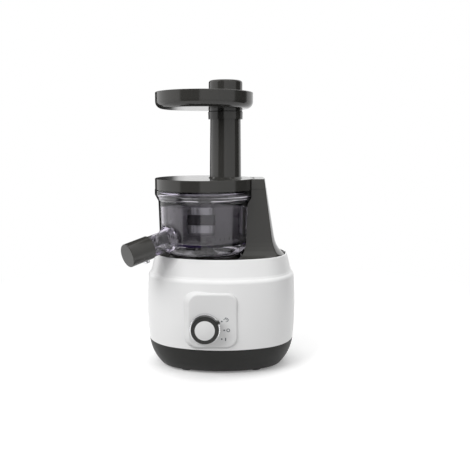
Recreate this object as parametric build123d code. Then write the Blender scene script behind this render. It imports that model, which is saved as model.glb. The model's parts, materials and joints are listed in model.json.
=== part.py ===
from build123d import *
import math
import os

# Cold press juicer, in millimetres. Z is up and the origin is on the worktop under the base centre.
# X runs to the right of someone who faces the control knob, and Y runs away from them.

# ---------------------------------------------------------------- clearances
GAP = 0.3              # between pieces that slide, lift or turn past each other
SHAFT_GAP = 0.05       # radial, a shaft in its bearing
SEAT_GAP = 0.3         # under a piece that stands on another

# ---------------------------------------------------------------- base, oval in plan
RIM_HALF_WIDTH = 98.6
RIM_HALF_DEPTH = 66.0
END_RADIUS = 58.0      # of the oval's two ends, at the rim
RIM_HEIGHT = 169.0
LEDGE_HEIGHT = 141.0   # foot of the upper ring
SPLIT_HEIGHT = 41.0    # joint between the white housing and the dark pan
HOUSING_WALL = 2.5
RIM_ROUND = 1.2        # rise of the rounded rim
LEDGE_OUT = 10.6       # how far the ledge stands out from the rim
BULGE_OUT = 12.6       # widest place of the housing, out from the rim
BULGE_HEIGHT = 92.0
SPLIT_OUT = 10.4
RING_OUT = 5.9         # foot of the upper ring, out from the rim
LEDGE_SHOULDER = 6.0   # from the ledge down to where its round starts
LEDGE_CORNER_OUT = 1.0 # middle of that round, in from the shoulder
LEDGE_CORNER_DROP = 1.8
LEDGE_SLOPE = 0.6      # rise of the ledge towards the ring
RING_FILLET = 1.5      # hollow at the foot of the ring
RING_FILLET_RISE = 3.6
PAN_FLOOR_OUT = -6.0   # edge of the flat underside, out from the rim
PAN_FLOOR_HEIGHT = 4.0
PAN_FLOOR_THICK = 3.0
PAN_BELLY_OUT = 4.6    # side of the pan half way up, out from the rim
PAN_BELLY_HEIGHT = 20.0
PAN_LAP = 1.0          # of the pan's floor under its side
PAN_TONGUE = 4.0       # height of the pan's tongue inside the housing
TONGUE_ROOT = 4.0      # how far below the joint it starts
TONGUE_THICK = 1.6
VENT_COUNT = 7
VENT_PITCH = 9.0
VENT_WIDTH = 4.0
VENT_LENGTH = 28.0
FOOT_RADIUS = 10.0
FOOT_X = 50.0
FOOT_Y = 36.0
FOOT_SINK = 1.5        # depth of a foot's seat in the pan
FOOT_EDGE = 1.0
COLUMN_X = 76.0        # screw columns that join the pan and the housing
COLUMN_Y = 30.0
COLUMN_RADIUS = 5.0
COLUMN_TOP = 62.0
COLUMN_LOW = 46.0
COLUMN_WEB = 2.4       # thickness of the web that ties a column to the wall
COLUMN_WEB_REACH = 25.0
SCREW_RADIUS = 1.8
SCREW_HEAD_RADIUS = 3.4
SCREW_HEAD_HEIGHT = 2.4
SCREW_END_SPARE = 2.0  # between a screw's end and the bottom of its hole
SCREW_WAY = 0.3        # round a screw's shank in the pan
SCREW_HEAD_WAY = 0.5
SCOOP_RADIUS = 50.0    # valley in the upper ring, below the spout
SCOOP_DEPTH = 5.0      # at the rim
SCOOP_TILT = 26.5      # from upright, so that it fades out above the ledge
SCOOP_LENGTH = 120.0
SCOOP_TURN = 7.0        # round the end of the oval, from below the spout towards the front

# ---------------------------------------------------------------- bowl axis and deck
BOWL_X = -24.7
DECK_HEIGHT = 165.5
DECK_THICK = 2.5
DECK_LIP = 3.0         # lip of the housing that carries the deck
DECK_EDGE = 5.0        # height of the deck's edge
SEAT_INNER = 43.5      # ring on the deck that carries the bowl
SEAT_OUTER = 54.0
HUB_RADIUS = 15.0      # raised hub round the drive shaft
HUB_HEIGHT = DECK_HEIGHT + 13.5
HUB_SKIRT = 6.0        # cone at the hub's foot
HUB_DRAFT = 2.0
HUB_WALL = 4.5
HUB_ROOF = 3.0
SEAL_WIDTH = 2.6       # of the shaft seal
SEAL_HEIGHT = 2.8

# ---------------------------------------------------------------- tower
TOWER_FRONT = 29.0     # half of the tower's depth
TOWER_CAP_HEIGHT = 14.5
TOWER_WALL = 2.6
TOWER_CORNER = 3.0
TOWER_GAP = 0.8        # round the bowl and the lid
SEAM_GAP = 0.3
TOWER_SIDE = 64.2      # reach of the right side at the top
TOWER_FACE = 61.8      # reach of the front face's right edge at the top
TOWER_LEAN = 0.17      # growth of the side per millimetre down
TOWER_FACE_LEAN = 0.13
FLARE_HEIGHT = DECK_HEIGHT + 39.5  # where the foot starts to sweep out
FLARE_SIDE = 13.5      # how far the foot sweeps out to the side
FLARE_CORNER = 10.8    # at the front face's edge
FLARE_FRONT = 17.0     # and to the front and back
FLARE_STEPS = 7

# ---------------------------------------------------------------- juice bowl
SEAT_HEIGHT = 3.5      # of the ring on the deck that carries the bowl
BOWL_FOOT = DECK_HEIGHT + SEAT_HEIGHT
FLOOR_RISE = 20.0      # of the bowl's floor above its foot
FLOOR_HEIGHT = BOWL_FOOT + FLOOR_RISE
BOWL_FOOT_INNER = 46.0
BOWL_CORNER = 14.0
BOWL_SHOULDER_ROUND = 4.0
BOWL_RIM_ROUND = 0.8
BOWL_FLOOR_ROUND = 3.0
BOWL_LOW_RADIUS = 66.2
BOWL_HIGH_RADIUS = 68.3
BOWL_WALL = 2.6
FLANGE_RADIUS = 73.3
FLANGE_RISE = 67.5     # of the flange above the floor
FLANGE_LOW = FLOOR_HEIGHT + FLANGE_RISE
FLANGE_ROUND = 3.0
FLANGE_HEIGHT = 7.5
BOWL_TOP = FLANGE_LOW + FLANGE_HEIGHT
SHOULDER_DROP = 9.5    # of the widest place of the wall below the flange
BOWL_SHOULDER_HEIGHT = FLANGE_LOW - SHOULDER_DROP
FLOOR_THICK = 2.5
BOWL_HUB_OUTER = 9.5
BOWL_HUB_INNER = 7.6
BOWL_HUB_TOP = FLOOR_HEIGHT + 8.0
SEAT_DROP = 8.2        # of the inner shoulder that carries the strainer below the flange
STRAINER_SEAT = FLANGE_LOW - SEAT_DROP
SHELF_STEP = 0.6       # how far the wall stands in below the shoulder
SHELF_RISE = 4.0
HUB_SEAL_HEIGHT = 5.0
PIN_RADIUS = 2.5       # of the idler gear's pin
PIN_SINK = 1.0
PIN_PAD = 1.5          # width of the pad under the idler gear

# ---------------------------------------------------------------- spout, its axis crosses the bowl axis
SPOUT_AZIMUTH = 219.0
SPOUT_DIP = 12.8
SPOUT_CROSSING = FLOOR_HEIGHT + 19.8
SPOUT_OUTER = 15.0
SPOUT_BORE = 12.4
SPOUT_START = 36.0
SPOUT_END = 133.0
SPOUT_ROOT_RADIUS = 21.0
SPOUT_ROOT_LENGTH = 9.0
SPOUT_ROOT_LAP = 4.0   # of the root into the bowl's wall
CAP_START = 101.0
CAP_END = 137.0
CAP_OUTER = 16.6
CAP_FACE = 2.5
CAP_EDGE_ROUND = 1.2
POUR_AT = 110.0
POUR_OUTER = 5.2
POUR_INNER = 4.0
POUR_WAY = 1.0         # round the nozzle, in the spout
POUR_DROP = 2.6        # how far the nozzle stands out of the cap
RING_SEAL_AT = 127.0
RING_SEAL_WIDTH = 2.4
RING_SEAL_DEPTH = 1.2

# ---------------------------------------------------------------- pulp chute
PULP_Y = 38.0
PULP_TUBE_OUTER = 8.8
PULP_TUBE_INNER = 7.0
CHUTE_END = 90.0
CHUTE_WIDTH = 26.0
CHUTE_LOW = BOWL_FOOT + 3.0
CHUTE_WALL = 2.0
CHUTE_START = 27.0
PULP_PLUG_LENGTH = 18.0
PULP_PLUG_WIDTH = 14.0
PULP_PLUG_GRIP = 6.0
PULP_PLUG_PROUD = 1.6

# ---------------------------------------------------------------- brush frame, strainer and auger
GEAR_LOW = FLOOR_HEIGHT + SEAT_GAP
GEAR_FACE = 10.3
GEAR_HIGH = GEAR_LOW + GEAR_FACE
TOOTH_SLACK = 0.14     # backlash, as a share of the pitch
TOOTH_TIP = 0.72       # above the pitch line, in modules
TOOTH_ROOT = 1.05      # below the pitch line, in modules
PRESSURE_ANGLE = 20.0
JUICE_MODULE = 2.0
SUN_TEETH = 14
SUN_PHASE = 0.0
IDLER_TEETH = 19
RING_TEETH = SUN_TEETH + 2 * IDLER_TEETH
IDLER_AZIMUTH = 0.0
BRUSH_RADIUS = 60.2
BRUSH_WALL = 2.2
BRUSH_DROP = 0.7       # below the strainer's flange
BRUSH_TOP = STRAINER_SEAT - BRUSH_DROP
BRUSH_WINDOWS = 3
BRUSH_WINDOW_WIDTH = 38.6
BRUSH_SILL = 3.4       # under the windows, above the ring gear
BRUSH_HEAD = 6.1       # over the windows
BRUSH_WINDOW_LOW = GEAR_HIGH + BRUSH_SILL
BRUSH_WINDOW_HIGH = BRUSH_TOP - BRUSH_HEAD
BRUSH_WINDOW_ROUND = 6.0
NOTCH_WIDTH = 3.8      # notches round the foot of the brush frame, one to a tooth
NOTCH_DEPTH = 1.2
NOTCH_HEIGHT = 4.2
NOTCH_DROP = 0.6       # below the top of the ring gear
WINDOW_REACH = 12.0    # depth of the cutters for the windows
WINDOW_START = 267.0   # azimuth of the window that faces the front
WIPER_COUNT = 3
WIPER_REACH = 63.4
WIPER_WIDTH = 2.4
STRAINER_RADIUS = 56.0
MESH_THICK = 0.7
STRAINER_WALL = 1.9
STRAINER_CLEAR = 0.8   # above the gears
STRAINER_FLOOR = GEAR_HIGH + STRAINER_CLEAR
STRAINER_FLOOR_THICK = 2.4
STRAINER_FLANGE_RADIUS = 66.4
STRAINER_FLANGE_THICK = 2.6
STRAINER_COLUMNS = 10
STRAINER_COLUMN_WIDTH = 5.0
STRAINER_SILL = 3.0
STRAINER_WINDOW_ROUND = 1.5
STRAINER_BAND_RISE = 16.6
STRAINER_BAND_WIDTH = 14.5
STRAINER_BAND_LOW = STRAINER_FLOOR + STRAINER_BAND_RISE
STRAINER_BAND_HIGH = STRAINER_BAND_LOW + STRAINER_BAND_WIDTH
NECK_RADIUS = 20.0
AUGER_CLEAR = 1.6      # above the strainer's floor
AUGER_BASE = STRAINER_FLOOR + STRAINER_FLOOR_THICK + AUGER_CLEAR
AUGER_BASE_RADIUS = 45.0
AUGER_BASE_EDGE = 4.0
AUGER_BASE_ROUNDS = (1.0, 2.0)
AUGER_SHOULDER_RADIUS = 15.0
AUGER_SHOULDER_ROUND = 6.0
AUGER_NECK_TOP = STRAINER_SEAT - SEAT_GAP
AUGER_TOP = BOWL_TOP - 8.0
AUGER_TIP_WIDTH = 3.0
AUGER_PIN_RADIUS = 5.0
AUGER_PIN_TOP = BOWL_TOP + 8.0
AUGER_PIN_ROUND = 1.0
SOCKET_ROOF = 1.0
HEX_GAP = 0.1          # on each flat of the drive shaft
FLIGHT_CLEAR = 1.2     # between the flights and the mesh
FLIGHT_THICK = 6.0
FLIGHT_COUNT = 2
FLIGHT_PITCH = 46.0
FLIGHT_ROOT = 12.0     # how far a flight runs into the cone
FLIGHT_START = 2.0
FLIGHT_TOP_DROP = 3.0
FLIGHT_BEVEL = 11.0

# ---------------------------------------------------------------- lid and feed tube
LID_RADIUS = 72.8
LID_RISE = 16.0        # above the bowl's rim
LID_TOP = BOWL_TOP + LID_RISE
LID_WALL = 2.6
LID_EDGE_ROUND = 0.8
LID_SPIGOT_OUTER = 68.6
LID_SPIGOT_LOW = BOWL_TOP - 6.4
LID_SPIGOT_WALL = 2.0
LID_BOSS_RADIUS = 9.0
LID_BOSS_LOW = BOWL_TOP - 4.5
GASKET_THICK = 1.0
GASKET_RAISE = 1.5
GASKET_HEIGHT = 2.5
FEED_OFFSET = 31.0     # from the bowl axis
FEED_BORE = 19.8
FEED_LOW_RADIUS = 23.1
FEED_HIGH_RADIUS = 22.0
FEED_LENGTH = 99.5
FEED_TOP = LID_TOP + FEED_LENGTH
FEED_FILLET = 2.0

# ---------------------------------------------------------------- tray and pusher
TRAY_RADIUS = 70.8
TRAY_SEAT = 0.5        # above the feed tube
TRAY_HEIGHT = 23.0
TRAY_LOW = FEED_TOP + TRAY_SEAT
TRAY_TOP = TRAY_LOW + TRAY_HEIGHT
TRAY_WALL = 2.8
TRAY_CORNER = 10.0
TRAY_RIM_ROUND = 1.0
SLEEVE_RADIUS = 25.2
SLEEVE_LENGTH = 15.0
SLEEVE_LOW = TRAY_LOW - SLEEVE_LENGTH
SLEEVE_DRAFT = 0.3
SLEEVE_GAP = 0.5       # round the feed tube
NECK_GROOVE_HEIGHT = TRAY_LOW - 3.5
NECK_GROOVE_DEPTH = 0.9
PUSHER_HEAD_RADIUS = 24.4
PUSHER_PROUD = 17.0
PUSHER_TOP = TRAY_TOP + PUSHER_PROUD
PUSHER_HEAD_ROUND = 3.6
PUSHER_STEM_RADIUS = 19.2
PUSHER_WALL = 2.2
PUSHER_STEM_ROUND = 1.5
PUSHER_LOW = LID_TOP + 7.0

# ---------------------------------------------------------------- panel and knob
PANEL_LEFT = -52.9
PANEL_RIGHT = 23.4
PANEL_LOW = 44.5
PANEL_HIGH = 125.8
PANEL_ROUND = 17.0
PANEL_BAND_LEFT = 7.5  # width of the soft edge round the flat face
PANEL_BAND_RIGHT = 2.2
PANEL_BAND_LOW = 2.5
PANEL_BAND_HIGH = 3.2
PANEL_PROUD = 1.2      # how far the face stands out from the widest place of the housing
PANEL_DRAFT = 38.0     # slope of the soft edges that run back to the housing
PANEL_DEPTH = 14.0
PANEL_EDGE_ROUND = 3.0
KNOB_X = -22.6
KNOB_Z = 76.0
KNOB_SLEEVE_RADIUS = 21.4
KNOB_SLEEVE_LENGTH = 9.5
KNOB_RING_RADIUS = 19.7
KNOB_RING_LENGTH = 6.0
KNOB_RING_ROUND = 2.0
KNOB_CAP_RADIUS = 13.9
KNOB_CAP_DEPTH = 3.0
KNOB_CAP_CROWN = 1.4
KNOB_RIBS = 48
KNOB_RIB_DEPTH = 0.7
POINTER_ANGLE = 30.0   # above level, to the right, where the knob rests
POINTER_REACH = 23.2
POINTER_WIDTH = 4.0
SWITCH_SHAFT_RADIUS = 3.0
SWITCH_SIZE = 26.0
SWITCH_STUD_RADIUS = 6.0
SWITCH_STUD_LENGTH = 4.5
SWITCH_GRIP = 6.0      # of the shaft in the switch
SWITCH_DEPTH = 17.0
SWITCH_BACKSET = 4.0   # behind the inside of the housing
SHAFT_GRIP = 4.0       # of solid core left in front of the switch shaft

# ---------------------------------------------------------------- motor and gearbox, on the bowl axis
MOTOR_RADIUS = 35.0
MOTOR_LOW = 13.0
MOTOR_HIGH = 96.0
MOTOR_WALL = 1.6
MOTOR_FEET_RADIUS = 28.0
MOTOR_BOSS_RADIUS = 4.5
MOTOR_SCREW_HEAD = 3.2
MOTOR_SCREW_HEIGHT = 2.2
CAN_VENTS = 6
CAN_VENT_WIDTH = 12.0
CAN_VENT_LOW = 19.0
CAN_VENT_HIGH = 28.0
BRACKET_THICK = 3.0
STATOR_INNER = 21.0
STATOR_LOW = 34.0
STATOR_HIGH = 74.0
STATOR_SLOTS = 8
STATOR_SLOT = (6.0, 8.0)
STATOR_SLOT_ROUND = 1.5
ROTOR_RADIUS = 20.4
ROTOR_SHAFT_RADIUS = 4.0
BEARING_RADIUS = 9.0
BEARING_LENGTH = 6.0
BEARING_SEAT_WALL = 2.5
WINDING_INNER = 23.0
WINDING_OUTER = 31.0
WINDING_HEIGHT = 10.0
FAN_RADIUS = 18.0
FAN_BLADES = 8
FAN_BLADE = 1.4
FAN_HUB_RADIUS = 8.0
FAN_HEIGHT = 8.0
FAN_SETBACK = 5.0      # above the lower bearing
GEARBOX_LOW = MOTOR_HIGH
GEARBOX_PLATE = 3.0
GEARBOX_COVER_LOW = 130.0
GEARBOX_HIGH = 134.0
GEARBOX_WALL = 2.5
GEARBOX_MARGIN = 4.0
GEAR_CENTRES = 36.0
FIRST_MODULE = 1.0
FIRST_PINION_TEETH = 12
FIRST_WHEEL_TEETH = 60
SECOND_MODULE = 1.2
SECOND_PINION_TEETH = 12
SECOND_WHEEL_TEETH = 48
FIRST_FACE = 9.0
SECOND_FACE = 13.0
LAYSHAFT_RADIUS = 3.0
PIN_BOSS_WALL = 3.0
PIN_BOSS_RISE = 1.0
WHEEL_GROOVE_INNER = 12.0
WHEEL_GROOVE_OUTER = 25.0
WHEEL_GROOVE_DEPTH = 2.5
OUTPUT_INSET = 1.5
OUTPUT_HOLES = 6
OUTPUT_HOLES_AT = 17.0
OUTPUT_HOLE_RADIUS = 4.5
DRIVE_RADIUS = 6.0
DRIVE_HEX = 10.0       # across flats
DRIVE_GRIP = 9.6       # of the hexagon in the auger
DRIVE_TOP = AUGER_BASE + DRIVE_GRIP
BUSH_RADIUS = 11.0
BUSH_HIGH = 150.0
BUSH_SEAT_WALL = 4.0
DAMPER_RADIUS = 6.0
DAMPER_HEIGHT = 8.0
DAMPER_X = 33.0        # from the middle of the gearbox
DAMPER_Y = 22.0
MOTOR_SCREW_COUNT = 4

# ---------------------------------------------------------------- electrics
BOARD_X = 66.0
BOARD_HALF_DEPTH = 34.0
BOARD_LOW = 14.0
BOARD_HIGH = 78.0
BOARD_THICK = 1.6
RAIL_WALL = 2.2        # of the slotted posts that hold the board
RAIL_GRIP = 2.5
RAIL_TOP = 56.0
GLAND_RADIUS = 7.0
GLAND_HEIGHT = 25.0
GLAND_BORE = 3.6
GLAND_LENGTH = 14.0
GLAND_PROUD = 1.0
GLAND_COLLAR_WIDTH = 1.6
GLAND_COLLAR_THICK = 2.0
CAPACITOR_RADIUS = 8.0
CAPACITOR_AT = (-16.0, 40.0)
CHOKE_RADIUS = 9.0
CHOKE_BORE = 4.0
CHOKE_AT = (14.0, 58.0)
RELAY_CORNERS = ((4.0, 30.0), (24.0, 42.0))
PLUG_CORNERS = ((-26.0, 62.0), (-6.0, 72.0))
TALL_COMPONENT = 14.0
FLAT_COMPONENT = 10.0
REED_LENGTH = 18.0
REED_SIZE = 4.0
MAGNET_LENGTH = 8.0
MAGNET_SIZE = 5.0

# ---------------------------------------------------------------- derived places
BOWL_AXIS = (BOWL_X, 0.0)
FEED_AXIS = (BOWL_X + FEED_OFFSET, 0.0)
LAYSHAFT_AXIS = (BOWL_X + GEAR_CENTRES, 0.0)
IDLER_OFFSET = JUICE_MODULE * (SUN_TEETH + IDLER_TEETH) / 2
IDLER_AXIS = (
    BOWL_X + IDLER_OFFSET * math.cos(math.radians(IDLER_AZIMUTH)),
    IDLER_OFFSET * math.sin(math.radians(IDLER_AZIMUTH)),
)
PAN_FLOOR_TOP = PAN_FLOOR_HEIGHT + PAN_FLOOR_THICK
TOWER_TOP = LID_TOP
TOWER_SEAM = TOWER_TOP - TOWER_CAP_HEIGHT
FACE_SINK = END_RADIUS - RIM_HALF_DEPTH
END_CENTRE = RIM_HALF_WIDTH - END_RADIUS
SIDE_CENTRE = (END_CENTRE**2 - FACE_SINK**2) / (2 * -FACE_SINK)
SIDE_RADIUS = RIM_HALF_DEPTH + SIDE_CENTRE
END_SWEEP = 2 * math.degrees(math.atan2(SIDE_CENTRE, END_CENTRE))
SIDE_SWEEP = 180.0 - END_SWEEP
SPOUT_SIDE = math.radians(SPOUT_AZIMUTH)
AXIS_OFFSET = BOWL_X + END_CENTRE
RIM_REACH = (
    math.sqrt(END_RADIUS**2 - (AXIS_OFFSET * math.sin(SPOUT_SIDE)) ** 2) - AXIS_OFFSET * math.cos(SPOUT_SIDE)
)
SCOOP_AZIMUTH = SCOOP_TURN + math.degrees(
    math.atan2(RIM_REACH * math.sin(SPOUT_SIDE), AXIS_OFFSET + RIM_REACH * math.cos(SPOUT_SIDE))
)
PANEL_FACE = RIM_HALF_DEPTH + BULGE_OUT + PANEL_PROUD
GLAND_BACK = RIM_HALF_DEPTH + SPLIT_OUT + GLAND_PROUD
KNOB_BACK = PANEL_FACE + GAP
KNOB_LENGTH = KNOB_SLEEVE_LENGTH + KNOB_RING_LENGTH
SWITCH_FRONT = RIM_HALF_DEPTH + SPLIT_OUT - HOUSING_WALL - SWITCH_BACKSET
BEARING_LOW = MOTOR_LOW + BRACKET_THICK - 1
GEARBOX_FLOOR = GEARBOX_LOW + GEARBOX_PLATE
UPPER_BEARING_TOP = GEARBOX_FLOOR - 1
PINION_LOW = GEARBOX_FLOOR + 1.5
WHEEL_LOW = PINION_LOW + 0.5
SECOND_LOW = WHEEL_LOW + FIRST_FACE
FAN_LOW = MOTOR_LOW + BEARING_LENGTH + FAN_SETBACK
STRAINER_LOW = STRAINER_SEAT + SEAT_GAP
STRAINER_TOP = STRAINER_LOW + STRAINER_FLANGE_THICK
FLOOR_RADIUS = BOWL_LOW_RADIUS - BOWL_WALL - BOWL_FLOOR_ROUND
FLIGHT_TOP = AUGER_TOP - FLIGHT_TOP_DROP
LOW_ALIGN = (Align.CENTER, Align.CENTER, Align.MIN)


# ---------------------------------------------------------------- shapes used again and again
def disc(radius, low, high, at=BOWL_AXIS):
    """A plain upright cylinder."""
    return Pos(at[0], at[1], low) * extrude(Circle(radius), high - low)


def tube(outer, inner, low, high, at=BOWL_AXIS):
    """An upright tube."""
    return Pos(at[0], at[1], low) * extrude(Circle(outer) - Circle(inner), high - low)


def turned(points, radii=0, at=BOWL_AXIS):
    """A closed (radius, height) outline turned about an upright axis, with rounded corners."""
    outline = FilletPolyline(*points, radius=radii, close=True)
    return Pos(at[0], at[1], 0) * revolve(Plane.XZ * make_face(outline), Axis.Z)


def block(low_corner, high_corner):
    """A box between two corners."""
    size = [high - low for low, high in zip(low_corner, high_corner)]
    middle = [(high + low) / 2 for low, high in zip(low_corner, high_corner)]
    return Pos(*middle) * Box(*size)


def around(count, radius, at, start=0.0):
    """Places evenly spaced on a circle about an upright axis."""
    return [
        Pos(at[0], at[1], 0) * Rot(0, 0, start + step * 360 / count) * Pos(radius, 0, 0)
        for step in range(count)
    ]


def four(x, y):
    """The four corners of a rectangle about the origin."""
    return [(side * x, end * y) for side in (-1, 1) for end in (-1, 1)]


def oval_face(out):
    """The base's plan, grown by a distance out from the rim."""
    end, side = END_RADIUS + out, SIDE_RADIUS + out
    return make_face(
        [
            CenterArc((END_CENTRE, 0), end, -END_SWEEP / 2, END_SWEEP),
            CenterArc((0, -SIDE_CENTRE), side, END_SWEEP / 2, SIDE_SWEEP),
            CenterArc((-END_CENTRE, 0), end, 180 - END_SWEEP / 2, END_SWEEP),
            CenterArc((0, SIDE_CENTRE), side, 180 + END_SWEEP / 2, SIDE_SWEEP),
        ]
    )


def oval_plate(out, low, high):
    """A flat plate with the base's plan."""
    return Pos(0, 0, low) * extrude(oval_face(out), high - low)


def oval_band(outline):
    """A closed outline in (out from the rim, height), carried round the base's oval."""
    end_face = Plane.XZ * make_face(Pos(END_RADIUS, 0) * outline)
    side_face = Plane.XZ * make_face(Pos(SIDE_RADIUS, 0) * outline)
    end = Pos(END_CENTRE, 0, 0) * Rot(0, 0, -END_SWEEP / 2) * revolve(end_face, Axis.Z, END_SWEEP)
    side = Pos(0, -SIDE_CENTRE, 0) * Rot(0, 0, END_SWEEP / 2) * revolve(side_face, Axis.Z, SIDE_SWEEP)
    return end + side + Rot(0, 0, 180) * end + Rot(0, 0, 180) * side


def gear_outline(module, teeth, phase=0.0, slack=TOOTH_SLACK, tip=TOOTH_TIP, root=TOOTH_ROOT):
    """Spur gear face about the origin, a tooth's middle at the phase angle."""
    pitch_radius = module * teeth / 2
    pressure = math.radians(PRESSURE_ANGLE)
    half_pitch = (0.25 - slack / 4) * 2 * math.pi / teeth
    corners = []
    for tooth in range(teeth):
        middle = math.radians(phase) + tooth * 2 * math.pi / teeth
        for height, side in ((-root, -1), (tip, -1), (tip, 1), (-root, 1)):
            radius = pitch_radius + height * module
            lean = (radius - pitch_radius) * math.tan(pressure) / pitch_radius
            angle = middle + side * (half_pitch - lean)
            corners.append((radius * math.cos(angle), radius * math.sin(angle)))
    return make_face(Polyline(*corners, close=True))


def ring_outline(module, teeth, outer, phase):
    """Internal gear face about the origin, a tooth space's middle at the phase angle."""
    return Circle(outer) - gear_outline(module, teeth, phase, -TOOTH_SLACK, TOOTH_ROOT, TOOTH_TIP)


# ---------------------------------------------------------------- base
def housing_outline(inset):
    """Side of the housing in (out from the rim, height), as edges from bottom to top."""
    drop = inset / 2
    bottom = (SPLIT_OUT - inset, SPLIT_HEIGHT)
    bulge = (BULGE_OUT - inset, BULGE_HEIGHT)
    shoulder = (LEDGE_OUT - inset, LEDGE_HEIGHT - LEDGE_SHOULDER - drop)
    corner = (LEDGE_OUT - LEDGE_CORNER_OUT - inset, LEDGE_HEIGHT - LEDGE_CORNER_DROP - drop)
    ledge = (RING_OUT + RING_FILLET - inset, LEDGE_HEIGHT + LEDGE_SLOPE - drop)
    foot = (RING_OUT - inset, LEDGE_HEIGHT + RING_FILLET_RISE - drop)
    top = (-inset, RIM_HEIGHT - RIM_ROUND)
    return [
        ThreePointArc(bottom, bulge, shoulder),
        ThreePointArc(shoulder, corner, ledge),
        Line(ledge, foot),
        Line(foot, top),
    ]


def base_housing():
    outer = housing_outline(0)
    inner = housing_outline(HOUSING_WALL)
    rim = ThreePointArc(outer[-1] @ 1, (-HOUSING_WALL / 2, RIM_HEIGHT), inner[-1] @ 1)
    bottom = Line(outer[0] @ 0, inner[0] @ 0)
    shell = oval_band(Curve() + outer + [rim] + inner + [bottom])
    shell += deck_lip()
    for x, y in four(COLUMN_X, COLUMN_Y):
        shell += screw_column(x, y)
        shell -= disc(SCREW_RADIUS, SPLIT_HEIGHT, COLUMN_TOP - SCREW_END_SPARE, (x, y))
    shell -= scoop(0)
    shell += (scoop(-HOUSING_WALL) - scoop(0)) & housing_form()
    shell -= front_hole(SWITCH_STUD_RADIUS + GAP)
    return shell


def deck_lip():
    """Shelf round the inside of the rim that carries the deck."""
    high = DECK_HEIGHT - DECK_EDGE
    low = high - DECK_LIP
    wall_out = RING_OUT * (RIM_HEIGHT - high) / (RIM_HEIGHT - LEDGE_HEIGHT)
    shelf = oval_plate(wall_out - HOUSING_WALL / 2, low, high)
    return shelf - oval_plate(-HOUSING_WALL - DECK_LIP, low, high)


def screw_column(x, y):
    """Column for a pan screw, tied to the wall by a web."""
    web_end = x + math.copysign(COLUMN_WEB_REACH, x)
    web = block(
        (min(x, web_end), y - COLUMN_WEB / 2, COLUMN_LOW),
        (max(x, web_end), y + COLUMN_WEB / 2, COLUMN_TOP),
    )
    web &= oval_plate(SPLIT_OUT - HOUSING_WALL / 2, COLUMN_LOW, COLUMN_TOP)
    return disc(COLUMN_RADIUS, COLUMN_LOW, COLUMN_TOP, (x, y)) + web


def housing_form():
    """The housing filled in, for what is trimmed to its outside."""
    outer = housing_outline(0)
    base = (-END_RADIUS / 2, SPLIT_HEIGHT)
    crown = (-END_RADIUS / 2, RIM_HEIGHT - RIM_ROUND)
    edges = [Line(outer[-1] @ 1, crown), Line(crown, base), Line(base, outer[0] @ 0)]
    return oval_band(Curve() + outer + edges)


def scoop(inset):
    """Shallow valley in the upper ring below the spout, which fades out above the ledge."""
    facing = Pos(-END_CENTRE, 0, 0) * Rot(0, 0, SCOOP_AZIMUTH)
    valley = Pos(END_RADIUS - SCOOP_DEPTH, 0, RIM_HEIGHT) * Rot(0, -SCOOP_TILT, 0)
    return facing * valley * Pos(SCOOP_RADIUS, 0, 0) * Cylinder(SCOOP_RADIUS - inset, SCOOP_LENGTH)


def front_hole(radius):
    """Hole through the front wall on the knob's axis."""
    return Pos(KNOB_X, -RIM_HALF_DEPTH, KNOB_Z) * Rot(90, 0, 0) * Cylinder(radius, 4 * BULGE_OUT)


def base_pan():
    floor_edge = (PAN_FLOOR_OUT, PAN_FLOOR_HEIGHT)
    top = (SPLIT_OUT, SPLIT_HEIGHT - SEAM_GAP)
    lap = PAN_FLOOR_OUT - PAN_LAP
    inner_top = (SPLIT_OUT - HOUSING_WALL, SPLIT_HEIGHT - SEAM_GAP)
    inner_belly = (PAN_BELLY_OUT - HOUSING_WALL, PAN_BELLY_HEIGHT + HOUSING_WALL / 2)
    edges = [
        ThreePointArc(floor_edge, (PAN_BELLY_OUT, PAN_BELLY_HEIGHT), top),
        Line(top, inner_top),
        ThreePointArc((lap, PAN_FLOOR_TOP), inner_belly, inner_top),
        Line((lap, PAN_FLOOR_TOP), (lap, PAN_FLOOR_HEIGHT)),
        Line((lap, PAN_FLOOR_HEIGHT), floor_edge),
    ]
    pan = oval_band(Curve() + edges)
    pan += oval_plate(PAN_FLOOR_OUT - PAN_LAP / 2, PAN_FLOOR_HEIGHT, PAN_FLOOR_TOP)
    pan += pan_tongue()
    for x, y in four(COLUMN_X, COLUMN_Y):
        pan += disc(COLUMN_RADIUS, PAN_FLOOR_HEIGHT, COLUMN_LOW - GAP, (x, y))
        pan -= disc(SCREW_RADIUS + SCREW_WAY, 0, COLUMN_LOW, (x, y))
        pan -= disc(SCREW_HEAD_RADIUS + SCREW_HEAD_WAY, 0, PAN_FLOOR_TOP, (x, y))
    for corner in four(FOOT_X, FOOT_Y):
        pan -= disc(FOOT_RADIUS + GAP / 2, 0, PAN_FLOOR_HEIGHT + FOOT_SINK, corner)
    slot = SlotOverall(VENT_LENGTH, VENT_WIDTH, rotation=90)
    for step in range(VENT_COUNT):
        x = BOWL_X + (step - (VENT_COUNT - 1) / 2) * VENT_PITCH
        pan -= Pos(x, 0, 0) * extrude(slot, PAN_FLOOR_TOP)
    boss = Pos(0, 0, PAN_FLOOR_TOP) * extrude(Circle(MOTOR_BOSS_RADIUS), MOTOR_LOW - PAN_FLOOR_TOP)
    pan += [place * boss for place in motor_feet()]
    pan += board_rails()
    return pan - gland_form(GLAND_RADIUS, GLAND_LENGTH)


def pan_tongue():
    """Upright tongue that centres the housing on the pan."""
    out = SPLIT_OUT - HOUSING_WALL - GAP
    low, high = SPLIT_HEIGHT - TONGUE_ROOT, SPLIT_HEIGHT + PAN_TONGUE
    return oval_plate(out, low, high) - oval_plate(out - TONGUE_THICK, low, high)


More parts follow.
